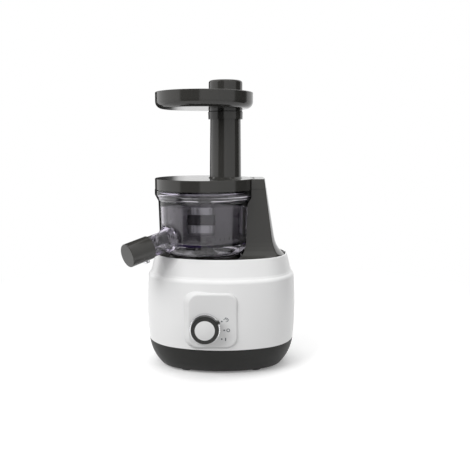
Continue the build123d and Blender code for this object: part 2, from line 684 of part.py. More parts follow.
def board_rails():
    """Slotted posts on the pan's floor that hold the circuit board by its ends."""
    left, right = BOARD_X - RAIL_WALL, BOARD_X + BOARD_THICK + RAIL_WALL
    near, far = BOARD_HALF_DEPTH - RAIL_GRIP, BOARD_HALF_DEPTH + RAIL_WALL
    rails = block((left, near, PAN_FLOOR_TOP), (right, far, RAIL_TOP))
    rails += block((left, -far, PAN_FLOOR_TOP), (right, -near, RAIL_TOP))
    reach = BOARD_HALF_DEPTH + SHAFT_GAP
    slot = block(
        (BOARD_X - SHAFT_GAP, -reach, BOARD_LOW),
        (BOARD_X + BOARD_THICK + SHAFT_GAP, reach, BOARD_HIGH),
    )
    return rails - slot


def motor_feet():
    return around(MOTOR_SCREW_COUNT, MOTOR_FEET_RADIUS, BOWL_AXIS, 45)


def rubber_feet():
    top = PAN_FLOOR_HEIGHT + FOOT_SINK
    points = [(0, 0), (FOOT_RADIUS - FOOT_EDGE, 0), (FOOT_RADIUS, FOOT_EDGE), (FOOT_RADIUS, top), (0, top)]
    return [turned(points, at=corner) for corner in four(FOOT_X, FOOT_Y)]


def pan_screws():
    head_low = PAN_FLOOR_TOP - SCREW_HEAD_HEIGHT
    screws = []
    for corner in four(COLUMN_X, COLUMN_Y):
        head = disc(SCREW_HEAD_RADIUS, head_low, PAN_FLOOR_TOP, corner)
        shank = disc(SCREW_RADIUS - SHAFT_GAP, head_low, COLUMN_TOP - 2 * SCREW_END_SPARE, corner)
        screws.append(head + shank)
    return screws


def gland_form(radius, length):
    """Round bar into the back of the pan, from the gland's outer end."""
    end = Pos(0, GLAND_BACK, GLAND_HEIGHT) * Rot(90, 0, 0)
    return end * Cylinder(radius, length, align=LOW_ALIGN)


def cord_gland():
    """Sleeve in the back of the pan that the mains lead would come out of."""
    collar = gland_form(GLAND_RADIUS + GLAND_COLLAR_WIDTH, GLAND_COLLAR_THICK)
    return gland_form(GLAND_RADIUS - SHAFT_GAP, GLAND_LENGTH) + collar - gland_form(GLAND_BORE, GLAND_LENGTH)


# ---------------------------------------------------------------- deck and tower
def tower_section(height, inset):
    """Plan of the tower at a height, shrunk by a wall."""
    drop = TOWER_TOP - height
    sweep = max(0.0, (FLARE_HEIGHT - height) / (FLARE_HEIGHT - DECK_HEIGHT)) ** 4
    left = BOWL_X + SEAT_INNER / 2
    corner = TOWER_FACE + TOWER_FACE_LEAN * drop + FLARE_CORNER * sweep - inset
    side = TOWER_SIDE + TOWER_LEAN * drop + FLARE_SIDE * sweep - inset
    half = TOWER_FRONT + FLARE_FRONT * sweep - inset
    bow = ThreePointArc((corner, -half), (side, 0), (corner, half))
    rest = Polyline((corner, half), (left, half), (left, -half), (corner, -half))
    face = make_face(Curve() + [bow, rest])
    corners = face.vertices().sort_by(Axis.X)[-2:]
    return Pos(0, 0, height) * fillet(corners, TOWER_CORNER)


def tower_form(inset):
    """Tower drawn through its sections, with a foot that sweeps out onto the deck."""
    foot = DECK_HEIGHT - DECK_THICK / 2
    rise = (FLARE_HEIGHT - foot) / FLARE_STEPS
    heights = [foot + step * rise for step in range(FLARE_STEPS + 1)] + [TOWER_TOP]
    return loft([tower_section(height, inset) for height in heights], ruled=True)


def bowl_way(clearance):
    """Space on the bowl axis that the bowl and the lid need, open to the top."""
    low, high = BOWL_LOW_RADIUS + clearance, FLANGE_RADIUS + clearance
    shoulder = (BOWL_HIGH_RADIUS + clearance, BOWL_SHOULDER_HEIGHT - FLANGE_ROUND)
    top = 2 * TOWER_TOP
    flange = (high, FLANGE_LOW - FLANGE_ROUND)
    return turned([(0, 0), (low, 0), (low, DECK_HEIGHT), shoulder, flange, (high, top), (0, top)])


def deck_tower():
    out = -HOUSING_WALL - GAP
    under = DECK_HEIGHT - DECK_THICK
    edge_low = DECK_HEIGHT - DECK_EDGE
    deck = oval_plate(out, edge_low, DECK_HEIGHT) - oval_plate(out - DECK_LIP, edge_low, under)
    tower = (tower_form(0) & oval_plate(out, edge_low - 1, TOWER_TOP)) - bowl_way(TOWER_GAP)
    hollow = tower_form(TOWER_WALL) - bowl_way(TOWER_GAP + TOWER_WALL)
    hollow += Pos(0, 0, -DECK_THICK - 1) * hollow
    hollow &= oval_plate(out - TOWER_WALL, 0, TOWER_TOP)
    deck += tower
    deck -= hollow & below(TOWER_SEAM - TOWER_WALL)
    deck &= below(TOWER_SEAM - SEAM_GAP)
    deck += tube(SEAT_OUTER, SEAT_INNER, under, BOWL_FOOT - SEAT_GAP)
    deck += drive_hub(under)
    deck -= hub_hollow(under)
    post = Circle(DAMPER_RADIUS)
    post_low = GEARBOX_HIGH + DAMPER_HEIGHT
    for place in damper_places():
        deck += place * Pos(0, 0, post_low) * extrude(post, under - post_low + 1)
    deck -= disc(DRIVE_RADIUS + SEAL_WIDTH, DECK_HEIGHT, HUB_HEIGHT - HUB_ROOF)
    deck -= disc(DRIVE_RADIUS + 2 * GAP, DECK_HEIGHT, HUB_HEIGHT + 1)
    return deck - scoop(-HOUSING_WALL - GAP)


def below(height):
    """Everything near the tower under a height."""
    reach = RIM_HALF_WIDTH + RIM_HALF_DEPTH
    return block((-reach, -reach, 0), (reach, reach, height))


def drive_hub(under):
    """Raised hub in the deck round the drive shaft."""
    skirt = HUB_RADIUS + HUB_SKIRT
    return turned(
        [(0, under), (skirt, under), (skirt, DECK_HEIGHT), (HUB_RADIUS, DECK_HEIGHT + HUB_SKIRT),
         (HUB_RADIUS - HUB_DRAFT, HUB_HEIGHT), (0, HUB_HEIGHT)],
    )


def hub_hollow(under):
    """Space inside the hub, open below."""
    roof = HUB_HEIGHT - 2 * HUB_ROOF
    mouth = HUB_RADIUS + HUB_DRAFT
    return turned([(0, under - 1), (mouth, under - 1), (HUB_RADIUS - HUB_WALL, roof), (0, roof)])


def tower_cap():
    cap = (tower_form(0) - below(TOWER_SEAM)) - bowl_way(TOWER_GAP)
    hollow = tower_form(TOWER_WALL) - bowl_way(TOWER_GAP + TOWER_WALL)
    return cap - (hollow & below(TOWER_TOP - TOWER_WALL))


def damper_places():
    middle = BOWL_X + GEAR_CENTRES / 2
    return [Pos(middle + x, y, 0) for x, y in four(DAMPER_X, DAMPER_Y)]


# ---------------------------------------------------------------- panel and knob
def panel_outline(shrink):
    """Rounded oblong of the panel, seen from the front; shrunk fully, it is the flat face."""
    left, right = PANEL_LEFT + shrink * PANEL_BAND_LEFT, PANEL_RIGHT - shrink * PANEL_BAND_RIGHT
    low, high = PANEL_LOW + shrink * PANEL_BAND_LOW, PANEL_HIGH - shrink * PANEL_BAND_HIGH
    face = RectangleRounded(right - left, high - low, PANEL_ROUND - shrink * PANEL_BAND_HIGH)
    return Pos((left + right) / 2, -(low + high) / 2) * face


def control_panel():
    """Flat-faced pad with soft edges that run back to the curved housing."""
    pad = extrude(panel_outline(1), PANEL_DEPTH, taper=-PANEL_DRAFT)
    pad = fillet(pad.faces().sort_by(Axis.Z)[0].edges(), PANEL_EDGE_ROUND)
    pad &= extrude(panel_outline(0), PANEL_DEPTH)
    pad = Pos(0, -PANEL_FACE, 0) * Rot(-90, 0, 0) * pad
    return pad - housing_form() - front_hole(SWITCH_SHAFT_RADIUS + GAP)


def on_knob(shape):
    """Place a shape that was made with +Z along the knob's axis, out of the panel."""
    return Pos(KNOB_X, -KNOB_BACK, KNOB_Z) * Rot(90, 0, 0) * shape


def knob_sleeve():
    """Bright ribbed sleeve behind the ring."""
    body = Cylinder(KNOB_SLEEVE_RADIUS - KNOB_RIB_DEPTH, KNOB_SLEEVE_LENGTH, align=LOW_ALIGN)
    rib_width = math.pi * KNOB_SLEEVE_RADIUS / KNOB_RIBS
    rib = block(
        (KNOB_SLEEVE_RADIUS - 2.0, -rib_width / 2, 1.0),
        (KNOB_SLEEVE_RADIUS, rib_width / 2, KNOB_SLEEVE_LENGTH - 1.0),
    )
    body += [Rot(0, 0, step * 360 / KNOB_RIBS) * rib for step in range(KNOB_RIBS)]
    return on_knob(body - Cylinder(KNOB_CAP_RADIUS, 4 * KNOB_SLEEVE_LENGTH))


def control_knob():
    """Dark ring with its pointer, and the core that grips the switch shaft."""
    cap_low = KNOB_LENGTH - KNOB_CAP_DEPTH
    ring = Pos(0, 0, KNOB_SLEEVE_LENGTH) * Cylinder(KNOB_RING_RADIUS, KNOB_RING_LENGTH, align=LOW_ALIGN)
    ring = fillet(ring.edges().sort_by(Axis.Z)[-1:], KNOB_RING_ROUND)
    core = Cylinder(KNOB_CAP_RADIUS, cap_low, align=LOW_ALIGN)
    ring -= Pos(0, 0, cap_low) * Cylinder(KNOB_CAP_RADIUS, KNOB_LENGTH, align=LOW_ALIGN)
    pointer = block(
        (KNOB_CAP_RADIUS + POINTER_WIDTH / 2, -POINTER_WIDTH / 2, KNOB_SLEEVE_LENGTH),
        (POINTER_REACH, POINTER_WIDTH / 2, KNOB_LENGTH - KNOB_RING_ROUND),
    )
    knob = ring + core + Rot(0, 0, POINTER_ANGLE) * pointer
    knob -= Cylinder(SWITCH_SHAFT_RADIUS, cap_low - SHAFT_GRIP, align=LOW_ALIGN)
    return on_knob(knob)


def knob_cap():
    radius = KNOB_CAP_RADIUS - SHAFT_GAP
    ball = (radius**2 + KNOB_CAP_CROWN**2) / (2 * KNOB_CAP_CROWN)
    disc_low = Pos(0, 0, KNOB_LENGTH - KNOB_CAP_DEPTH)
    button = disc_low * Cylinder(radius, KNOB_CAP_DEPTH + KNOB_CAP_CROWN, align=LOW_ALIGN)
    return on_knob(button & Pos(0, 0, KNOB_LENGTH + KNOB_CAP_CROWN - ball) * Sphere(ball))


def switch_shaft():
    top = KNOB_LENGTH - KNOB_CAP_DEPTH - SHAFT_GRIP
    low = SWITCH_FRONT - SWITCH_GRIP - KNOB_BACK
    return on_knob(Pos(0, 0, low) * Cylinder(SWITCH_SHAFT_RADIUS - SHAFT_GAP, top - low, align=LOW_ALIGN))


def rotary_switch():
    half = SWITCH_SIZE / 2
    body = block(
        (KNOB_X - half, -SWITCH_FRONT, KNOB_Z - half),
        (KNOB_X + half, -SWITCH_FRONT + SWITCH_DEPTH, KNOB_Z + half),
    )
    front = Pos(KNOB_X, -SWITCH_FRONT, KNOB_Z) * Rot(90, 0, 0)
    stud = front * Cylinder(SWITCH_STUD_RADIUS, SWITCH_STUD_LENGTH, align=LOW_ALIGN)
    return body + stud - front * Cylinder(SWITCH_SHAFT_RADIUS, 2 * (SWITCH_GRIP + GAP))


# ---------------------------------------------------------------- motor
def motor_can():
    can = tube(MOTOR_RADIUS, MOTOR_RADIUS - MOTOR_WALL, MOTOR_LOW, MOTOR_HIGH)
    half = CAN_VENT_WIDTH / 2
    for place in around(CAN_VENTS, MOTOR_RADIUS, BOWL_AXIS, 180 / CAN_VENTS):
        can -= place * block((-half, -half, CAN_VENT_LOW), (half, half, CAN_VENT_HIGH))
    return can


def motor_bracket():
    """Lower end of the motor, with its bearing pocket."""
    plate_top = MOTOR_LOW + BRACKET_THICK
    plate = disc(MOTOR_RADIUS - MOTOR_WALL, MOTOR_LOW, plate_top)
    plate += disc(BEARING_RADIUS + BEARING_SEAT_WALL, MOTOR_LOW, BEARING_LOW + BEARING_LENGTH)
    return plate - disc(BEARING_RADIUS, BEARING_LOW, BEARING_LOW + 2 * BEARING_LENGTH)


def motor_bearings():
    bore = ROTOR_SHAFT_RADIUS + SHAFT_GAP
    return [
        tube(BEARING_RADIUS, bore, low, low + BEARING_LENGTH)
        for low in (BEARING_LOW, UPPER_BEARING_TOP - BEARING_LENGTH)
    ]


def motor_stator():
    face = Circle(MOTOR_RADIUS - MOTOR_WALL) - Circle(STATOR_INNER)
    slot = Pos((WINDING_INNER + WINDING_OUTER) / 2, 0) * RectangleRounded(*STATOR_SLOT, STATOR_SLOT_ROUND)
    face -= [Rot(0, 0, step * 360 / STATOR_SLOTS) * slot for step in range(STATOR_SLOTS)]
    return Pos(BOWL_X, 0, STATOR_LOW) * extrude(face, STATOR_HIGH - STATOR_LOW)


def motor_windings():
    return [
        tube(WINDING_OUTER, WINDING_INNER, low, low + WINDING_HEIGHT)
        for low in (STATOR_LOW - WINDING_HEIGHT, STATOR_HIGH)
    ]


def motor_rotor():
    return tube(ROTOR_RADIUS, ROTOR_SHAFT_RADIUS, STATOR_LOW, STATOR_HIGH)


def motor_shaft():
    """Rotor shaft with the first pinion cut on its upper end."""
    shaft = disc(ROTOR_SHAFT_RADIUS, BEARING_LOW + GAP, PINION_LOW)
    pinion = extrude(gear_outline(FIRST_MODULE, FIRST_PINION_TEETH), FIRST_FACE + 1)
    return shaft + Pos(BOWL_X, 0, PINION_LOW) * pinion


def motor_fan():
    hub = tube(FAN_HUB_RADIUS, ROTOR_SHAFT_RADIUS, FAN_LOW, FAN_LOW + FAN_HEIGHT)
    blade = block((FAN_HUB_RADIUS - 1, -FAN_BLADE / 2, 0), (FAN_RADIUS, FAN_BLADE / 2, FAN_HEIGHT))
    turns = [Rot(0, 0, step * 360 / FAN_BLADES) for step in range(FAN_BLADES)]
    return hub + [Pos(BOWL_X, 0, FAN_LOW) * turn * blade for turn in turns]


# ---------------------------------------------------------------- gearbox
def gearbox_plan(margin):
    """Two circles joined by their tangents, round both gear axes."""
    big = FIRST_MODULE * FIRST_WHEEL_TEETH / 2 + GEARBOX_MARGIN + margin
    left = Pos(BOWL_X, 0) * Circle(MOTOR_RADIUS + margin)
    right = Pos(LAYSHAFT_AXIS[0], 0) * Circle(big)
    middle = Pos(BOWL_X + GEAR_CENTRES / 2, 0) * Rectangle(GEAR_CENTRES, 2 * big)
    return left + right + middle


def gearbox_case():
    case = Pos(0, 0, GEARBOX_LOW) * extrude(gearbox_plan(0), GEARBOX_COVER_LOW - GEARBOX_LOW)
    case -= Pos(0, 0, GEARBOX_FLOOR) * extrude(gearbox_plan(-GEARBOX_WALL), GEARBOX_COVER_LOW)
    bearing_low = UPPER_BEARING_TOP - BEARING_LENGTH
    case += disc(BEARING_RADIUS + BEARING_SEAT_WALL, bearing_low, GEARBOX_FLOOR)
    case -= disc(BEARING_RADIUS, bearing_low - 1, UPPER_BEARING_TOP)
    case -= disc(ROTOR_SHAFT_RADIUS + 1, bearing_low, GEARBOX_FLOOR + 1)
    case += disc(LAYSHAFT_RADIUS + PIN_BOSS_WALL, GEARBOX_LOW, GEARBOX_FLOOR + PIN_BOSS_RISE, LAYSHAFT_AXIS)
    return case - disc(LAYSHAFT_RADIUS, GEARBOX_LOW + 1, GEARBOX_COVER_LOW, LAYSHAFT_AXIS)


def gearbox_cover():
    cover = Pos(0, 0, GEARBOX_COVER_LOW) * extrude(gearbox_plan(0), GEARBOX_HIGH - GEARBOX_COVER_LOW)
    cover += disc(BUSH_RADIUS + BUSH_SEAT_WALL, GEARBOX_COVER_LOW, BUSH_HIGH)
    cover -= disc(BUSH_RADIUS, GEARBOX_COVER_LOW - 1, BUSH_HIGH + 1)
    low = SECOND_LOW + SECOND_FACE + GAP
    cover += disc(LAYSHAFT_RADIUS + PIN_BOSS_WALL, low, GEARBOX_HIGH, LAYSHAFT_AXIS)
    return cover - disc(LAYSHAFT_RADIUS, low - 1, GEARBOX_HIGH - 1, LAYSHAFT_AXIS)


def intermediate_pin():
    return disc(LAYSHAFT_RADIUS - SHAFT_GAP, GEARBOX_LOW + 1, GEARBOX_HIGH - 1, LAYSHAFT_AXIS)


def intermediate_gear():
    """Large wheel driven by the motor pinion, with the second pinion on top of it."""
    wheel_phase = 180.0 + 180.0 / FIRST_WHEEL_TEETH
    wheel = extrude(gear_outline(FIRST_MODULE, FIRST_WHEEL_TEETH, wheel_phase), FIRST_FACE)
    pinion_face = gear_outline(SECOND_MODULE, SECOND_PINION_TEETH, 180)
    pinion = Pos(0, 0, FIRST_FACE) * extrude(pinion_face, SECOND_FACE)
    groove = Circle(WHEEL_GROOVE_OUTER) - Circle(WHEEL_GROOVE_INNER)
    gear = wheel + pinion - Pos(0, 0, FIRST_FACE - WHEEL_GROOVE_DEPTH) * extrude(groove, FIRST_FACE)
    gear -= Cylinder(LAYSHAFT_RADIUS, 4 * SECOND_FACE)
    return Pos(LAYSHAFT_AXIS[0], 0, WHEEL_LOW) * gear


def output_gear():
    phase = 180.0 / SECOND_WHEEL_TEETH
    face = gear_outline(SECOND_MODULE, SECOND_WHEEL_TEETH, phase) - Circle(DRIVE_RADIUS)
    hole = Pos(OUTPUT_HOLES_AT, 0) * Circle(OUTPUT_HOLE_RADIUS)
    face -= [Rot(0, 0, step * 360 / OUTPUT_HOLES) * hole for step in range(OUTPUT_HOLES)]
    return Pos(BOWL_X, 0, SECOND_LOW + OUTPUT_INSET) * extrude(face, SECOND_FACE - 2 * OUTPUT_INSET)


def drive_shaft():
    hex_low = HUB_HEIGHT - HUB_ROOF
    shaft = disc(DRIVE_RADIUS, SECOND_LOW + OUTPUT_INSET - GAP, hex_low)
    return shaft + Pos(BOWL_X, 0, hex_low) * extrude(hexagon(DRIVE_HEX), DRIVE_TOP - hex_low)


def hexagon(across_flats):
    return RegularPolygon(across_flats / 2, 6, major_radius=False)


def shaft_bush():
    return tube(BUSH_RADIUS, DRIVE_RADIUS + SHAFT_GAP, GEARBOX_COVER_LOW, BUSH_HIGH)


def shaft_seal():
    high = HUB_HEIGHT - HUB_ROOF - GAP
    return tube(DRIVE_RADIUS + SEAL_WIDTH - SHAFT_GAP, DRIVE_RADIUS + SHAFT_GAP, high - SEAL_HEIGHT, high)


def gearbox_dampers():
    """Rubber blocks between the gearbox and the posts of the deck."""
    block_face = Circle(DAMPER_RADIUS)
    return [place * Pos(0, 0, GEARBOX_HIGH) * extrude(block_face, DAMPER_HEIGHT) for place in damper_places()]


def motor_screws():
    """Screws that hold the motor down on the pan's bosses."""
    head = extrude(Circle(MOTOR_SCREW_HEAD), MOTOR_SCREW_HEIGHT)
    return [place * Pos(0, 0, MOTOR_LOW + BRACKET_THICK) * head for place in motor_feet()]


def screws():
    """All screws of the base: those up into the housing's columns and those of the motor."""
    return pan_screws() + motor_screws()


# ---------------------------------------------------------------- electrics
def circuit_board():
    back = BOARD_X + BOARD_THICK
    return block((BOARD_X, -BOARD_HALF_DEPTH, BOARD_LOW), (back, BOARD_HALF_DEPTH, BOARD_HIGH))


def board_components():
    """Capacitor, relay, choke and plug on the board's inner face."""
    tall, flat = BOARD_X - TALL_COMPONENT, BOARD_X - FLAT_COMPONENT
    upright = Rot(0, -90, 0)
    capacitor = upright * Cylinder(CAPACITOR_RADIUS, TALL_COMPONENT, align=LOW_ALIGN)
    ring = extrude(Circle(CHOKE_RADIUS) - Circle(CHOKE_BORE), FLAT_COMPONENT)
    return [
        Pos(BOARD_X, *CAPACITOR_AT) * capacitor,
        Pos(BOARD_X, *CHOKE_AT) * upright * ring,
        block((tall, *RELAY_CORNERS[0]), (BOARD_X, *RELAY_CORNERS[1])),
        block((flat, *PLUG_CORNERS[0]), (BOARD_X, *PLUG_CORNERS[1])),
    ]


def reed_switch():
    """Switch that senses the lid's magnet, under the tower's roof."""
    high = TOWER_TOP - TOWER_WALL
    x = BOWL_X + FLANGE_RADIUS + TOWER_GAP + TOWER_WALL
    return block((x, -REED_LENGTH / 2, high - REED_SIZE), (x + REED_SIZE, REED_LENGTH / 2, high))


def safety_magnet():
    """Magnet inside the lid's spigot, on the side of the tower."""
    x = BOWL_X + LID_SPIGOT_OUTER - LID_SPIGOT_WALL - GAP
    high = LID_TOP - LID_WALL
    return block((x - MAGNET_SIZE, -MAGNET_LENGTH / 2, high - MAGNET_SIZE), (x, MAGNET_LENGTH / 2, high))


# ---------------------------------------------------------------- bowl
def on_spout(shape):
    """Place a shape that was made with +Z along the spout, from the bowl axis outwards."""
    return Pos(BOWL_X, 0, SPOUT_CROSSING) * Rot(0, 0, SPOUT_AZIMUTH) * Rot(0, 90 + SPOUT_DIP, 0) * shape


def along_spout(radius, start, end):
    return on_spout(Pos(0, 0, start) * Cylinder(radius, end - start, align=LOW_ALIGN))


def bowl_inside():
    """Space above the bowl's floor."""
    low_side = BOWL_LOW_RADIUS - BOWL_WALL
    high_side = BOWL_HIGH_RADIUS - BOWL_WALL - SHELF_STEP
    shelf = STRAINER_FLANGE_RADIUS + GAP
    mouth = LID_SPIGOT_OUTER + GASKET_THICK + GAP
    points = [
        (0, FLOOR_HEIGHT), (low_side, FLOOR_HEIGHT), (high_side, STRAINER_SEAT), (shelf, STRAINER_SEAT),
        (shelf + SHELF_STEP / 2, STRAINER_SEAT + SHELF_RISE), (mouth, FLANGE_LOW), (mouth, BOWL_TOP + 1),
        (0, BOWL_TOP + 1),
    ]
    return turned(points, [0, BOWL_FLOOR_ROUND, 0, 0, 0, 0, 0, 0])


def bowl_form(grow=0.0):
    low, high, flange = BOWL_LOW_RADIUS + grow, BOWL_HIGH_RADIUS + grow, FLANGE_RADIUS + grow
    points = [
        (0, BOWL_FOOT), (low, BOWL_FOOT), (high, BOWL_SHOULDER_HEIGHT), (flange, FLANGE_LOW),
        (flange, BOWL_TOP), (0, BOWL_TOP),
    ]
    return turned(points, [0, BOWL_CORNER, BOWL_SHOULDER_ROUND, FLANGE_ROUND, BOWL_RIM_ROUND, 0])


def bowl_recess():
    """Open underside of the bowl."""
    corner = BOWL_CORNER - BOWL_WALL
    side = BOWL_LOW_RADIUS - BOWL_WALL
    foot, under = BOWL_FOOT + BOWL_WALL, FLOOR_HEIGHT - FLOOR_THICK
    points = [
        (0, BOWL_FOOT - 1), (BOWL_FOOT_INNER, BOWL_FOOT - 1), (BOWL_FOOT_INNER, foot),
        (side, foot), (side, under), (0, under),
    ]
    return turned(points, [0, 0, 0, corner, 0, 0])


def juice_bowl():
    """Wall of the bowl with its foot, and a ledge inside that carries the floor."""
    bowl = bowl_form() - bowl_recess() - bowl_inside()
    bowl -= disc(FLANGE_RADIUS + 1, STRAINER_SEAT, BOWL_TOP + 1)
    bowl -= disc(FLOOR_RADIUS, FLOOR_HEIGHT - FLOOR_THICK - 1, FLOOR_HEIGHT + 1)
    bowl -= chute_box(-SHAFT_GAP)
    return bowl - along_spout(SPOUT_BORE, SPOUT_START, SPOUT_END)


def bowl_rim():
    """Top of the bowl above the strainer's seat: its mouth and flange, welded on the wall."""
    return (bowl_form() - bowl_inside()) & disc(FLANGE_RADIUS + 1, STRAINER_SEAT, BOWL_TOP + 1)


def bowl_floor():
    """Floor welded into the bowl, with the hub for the drive and the pad of the idler gear."""
    low = FLOOR_HEIGHT - FLOOR_THICK
    floor = disc(FLOOR_RADIUS - SHAFT_GAP, low, FLOOR_HEIGHT)
    floor += disc(BOWL_HUB_OUTER, low, BOWL_HUB_TOP)
    floor += disc(PIN_RADIUS + PIN_PAD, low, FLOOR_HEIGHT + SEAT_GAP, IDLER_AXIS)
    floor -= disc(BOWL_HUB_INNER, low - 1, BOWL_HUB_TOP + 1)
    floor -= disc(PULP_TUBE_OUTER + SHAFT_GAP, low - 1, FLOOR_HEIGHT + 1, (BOWL_X, PULP_Y))
    return floor - disc(PIN_RADIUS, FLOOR_HEIGHT - PIN_SINK, FLOOR_HEIGHT + 1, IDLER_AXIS)


def juice_spout():
    """Spout that is welded to the outside of the bowl by its wide root."""
    root_from = BOWL_HIGH_RADIUS - SPOUT_ROOT_LAP
    flare = Pos(0, 0, root_from) * Cone(
        SPOUT_ROOT_RADIUS, SPOUT_OUTER, SPOUT_ROOT_LENGTH + SPOUT_ROOT_LAP, align=LOW_ALIGN
    )
    spout = along_spout(SPOUT_OUTER, SPOUT_START, SPOUT_END) + on_spout(flare)
    spout -= bowl_form(SHAFT_GAP)
    spout -= along_spout(SPOUT_BORE, SPOUT_START, SPOUT_END + 1)
    groove = Circle(SPOUT_OUTER + 1) - Circle(SPOUT_OUTER - RING_SEAL_DEPTH)
    spout -= on_spout(Pos(0, 0, RING_SEAL_AT - RING_SEAL_WIDTH / 2) * extrude(groove, RING_SEAL_WIDTH))
    return spout - pour_opening(POUR_OUTER + POUR_WAY, SPOUT_BORE - POUR_OUTER / 2, SPOUT_OUTER + 2)


def chute_box(wall):
    """Box under the bowl's floor that leads the pulp out to the back; with a wall, its inside."""
    half = CHUTE_WIDTH / 2 - wall
    past = 1 if wall > 0 else 0
    return block(
        (BOWL_X - half, CHUTE_START + wall, CHUTE_LOW + wall),
        (BOWL_X + half, CHUTE_END + past, FLOOR_HEIGHT - FLOOR_THICK - wall),
    )


def pulp_outlet():
    """Chute under the bowl's floor, with the collar that takes the pulp from the strainer."""
    pulp_axis = (BOWL_X, PULP_Y)
    outlet = chute_box(0)
    outlet += disc(PULP_TUBE_OUTER, FLOOR_HEIGHT - FLOOR_THICK, GEAR_HIGH, pulp_axis)
    outlet -= chute_box(CHUTE_WALL)
    outlet -= disc(PULP_TUBE_INNER, CHUTE_LOW + CHUTE_WALL, GEAR_HIGH + 1, pulp_axis)
    return outlet - pulp_plug(0)


def pour_opening(radius, low, high):
    """Upright stub below the spout where the juice leaves it."""
    stub = Pos(0, 0, low) * Cylinder(radius, high - low, align=LOW_ALIGN)
    return on_spout(Pos(0, 0, POUR_AT) * Rot(0, 90, 0) * stub)


def pulp_plug(shrink):
    half = PULP_PLUG_WIDTH / 2 - shrink
    return block(
        (BOWL_X - half, PULP_Y - PULP_PLUG_LENGTH / 2 + shrink, CHUTE_LOW),
        (BOWL_X + half, PULP_Y + PULP_PLUG_LENGTH / 2 - shrink, CHUTE_LOW + CHUTE_WALL),
    )


def pulp_seal():
    """Soft plug in the cleaning opening under the chute."""
    half = PULP_PLUG_GRIP / 2
    grip = block(
        (BOWL_X - half, PULP_Y - half, CHUTE_LOW - PULP_PLUG_PROUD),
        (BOWL_X + half, PULP_Y + half, CHUTE_LOW),
    )
    return pulp_plug(SHAFT_GAP) + grip


def spout_seal():
    width = RING_SEAL_WIDTH - 2 * SHAFT_GAP
    ring = Cylinder(SPOUT_OUTER + GAP / 2, width) - Cylinder(SPOUT_OUTER - RING_SEAL_DEPTH + SHAFT_GAP, width)
    return on_spout(Pos(0, 0, RING_SEAL_AT) * ring)


def spout_cap():
    inner = SPOUT_OUTER + GAP
    cap = Cylinder(CAP_OUTER, CAP_END - CAP_START, align=LOW_ALIGN)
    cap = fillet(cap.edges().sort_by(Axis.Z)[-1:], CAP_EDGE_ROUND)
    cap -= Cylinder(inner, CAP_END - CAP_START - CAP_FACE, align=LOW_ALIGN)
    cap = on_spout(Pos(0, 0, CAP_START) * cap)
    return cap - pour_opening(POUR_OUTER + SHAFT_GAP, SPOUT_BORE, CAP_OUTER + 1)


def pour_nozzle():
    outer = pour_opening(POUR_OUTER, SPOUT_OUTER + GAP, CAP_OUTER + POUR_DROP)
    return outer - pour_opening(POUR_INNER, SPOUT_BORE, CAP_OUTER + POUR_DROP + 1)


def bowl_hub_seal():
    bore = DRIVE_HEX / 2 / math.cos(math.pi / 6) + GAP
    return tube(BOWL_HUB_INNER - SHAFT_GAP, bore, BOWL_HUB_TOP - HUB_SEAL_HEIGHT, BOWL_HUB_TOP)


# ---------------------------------------------------------------- juicing set
def idler_phase():
    return IDLER_AZIMUTH + 180.0 + 180.0 / IDLER_TEETH


def ring_phase():
    """Angle of a tooth space of the ring that the idler's outermost tooth fills."""
    step = 360.0 / IDLER_TEETH
    turns = (IDLER_AZIMUTH - idler_phase()) / step
    off = (turns - round(turns)) * step
    return IDLER_AZIMUTH - off * IDLER_TEETH / RING_TEETH


def auger_flight():
    """One helical flight, wound on the cone and later trimmed to the strainer."""
    path = Helix(FLIGHT_PITCH, AUGER_NECK_TOP - AUGER_BASE, AUGER_SHOULDER_RADIUS)
    inner = AUGER_SHOULDER_RADIUS - FLIGHT_ROOT
    section = Pos((STRAINER_RADIUS + inner) / 2 - AUGER_SHOULDER_RADIUS, 0) * Rectangle(
        STRAINER_RADIUS - inner, FLIGHT_THICK
    )
    blade = Plane(path @ 0, x_dir=(1, 0, 0), z_dir=path % 0) * section
    return sweep(blade, path, is_frenet=True)


def sun_gear():
    """Gear pressed on the auger's foot."""
    face = gear_outline(JUICE_MODULE, SUN_TEETH, SUN_PHASE) - Circle(BOWL_HUB_OUTER + GAP)
    return Pos(BOWL_X, 0, GEAR_LOW) * extrude(face, GEAR_FACE)


def auger_form():
    """The auger without its flights, from the sun gear to the pin at the top."""
    sun_root = JUICE_MODULE * (SUN_TEETH / 2 - 1) - GAP
    return turned(
        [
            (0, GEAR_HIGH), (sun_root, GEAR_HIGH), (NECK_RADIUS, GEAR_HIGH + SEAT_GAP),
            (NECK_RADIUS, AUGER_BASE), (AUGER_BASE_RADIUS, AUGER_BASE),
            (AUGER_BASE_RADIUS, AUGER_BASE + AUGER_BASE_EDGE), (AUGER_SHOULDER_RADIUS, AUGER_NECK_TOP),
            (AUGER_PIN_RADIUS + AUGER_TIP_WIDTH, AUGER_TOP), (AUGER_PIN_RADIUS, AUGER_TOP + 1),
            (AUGER_PIN_RADIUS, AUGER_PIN_TOP), (0, AUGER_PIN_TOP),
        ],
        [0, 0, 0, 0, *AUGER_BASE_ROUNDS, AUGER_SHOULDER_ROUND, 0, 0, AUGER_PIN_ROUND, 0],
    )


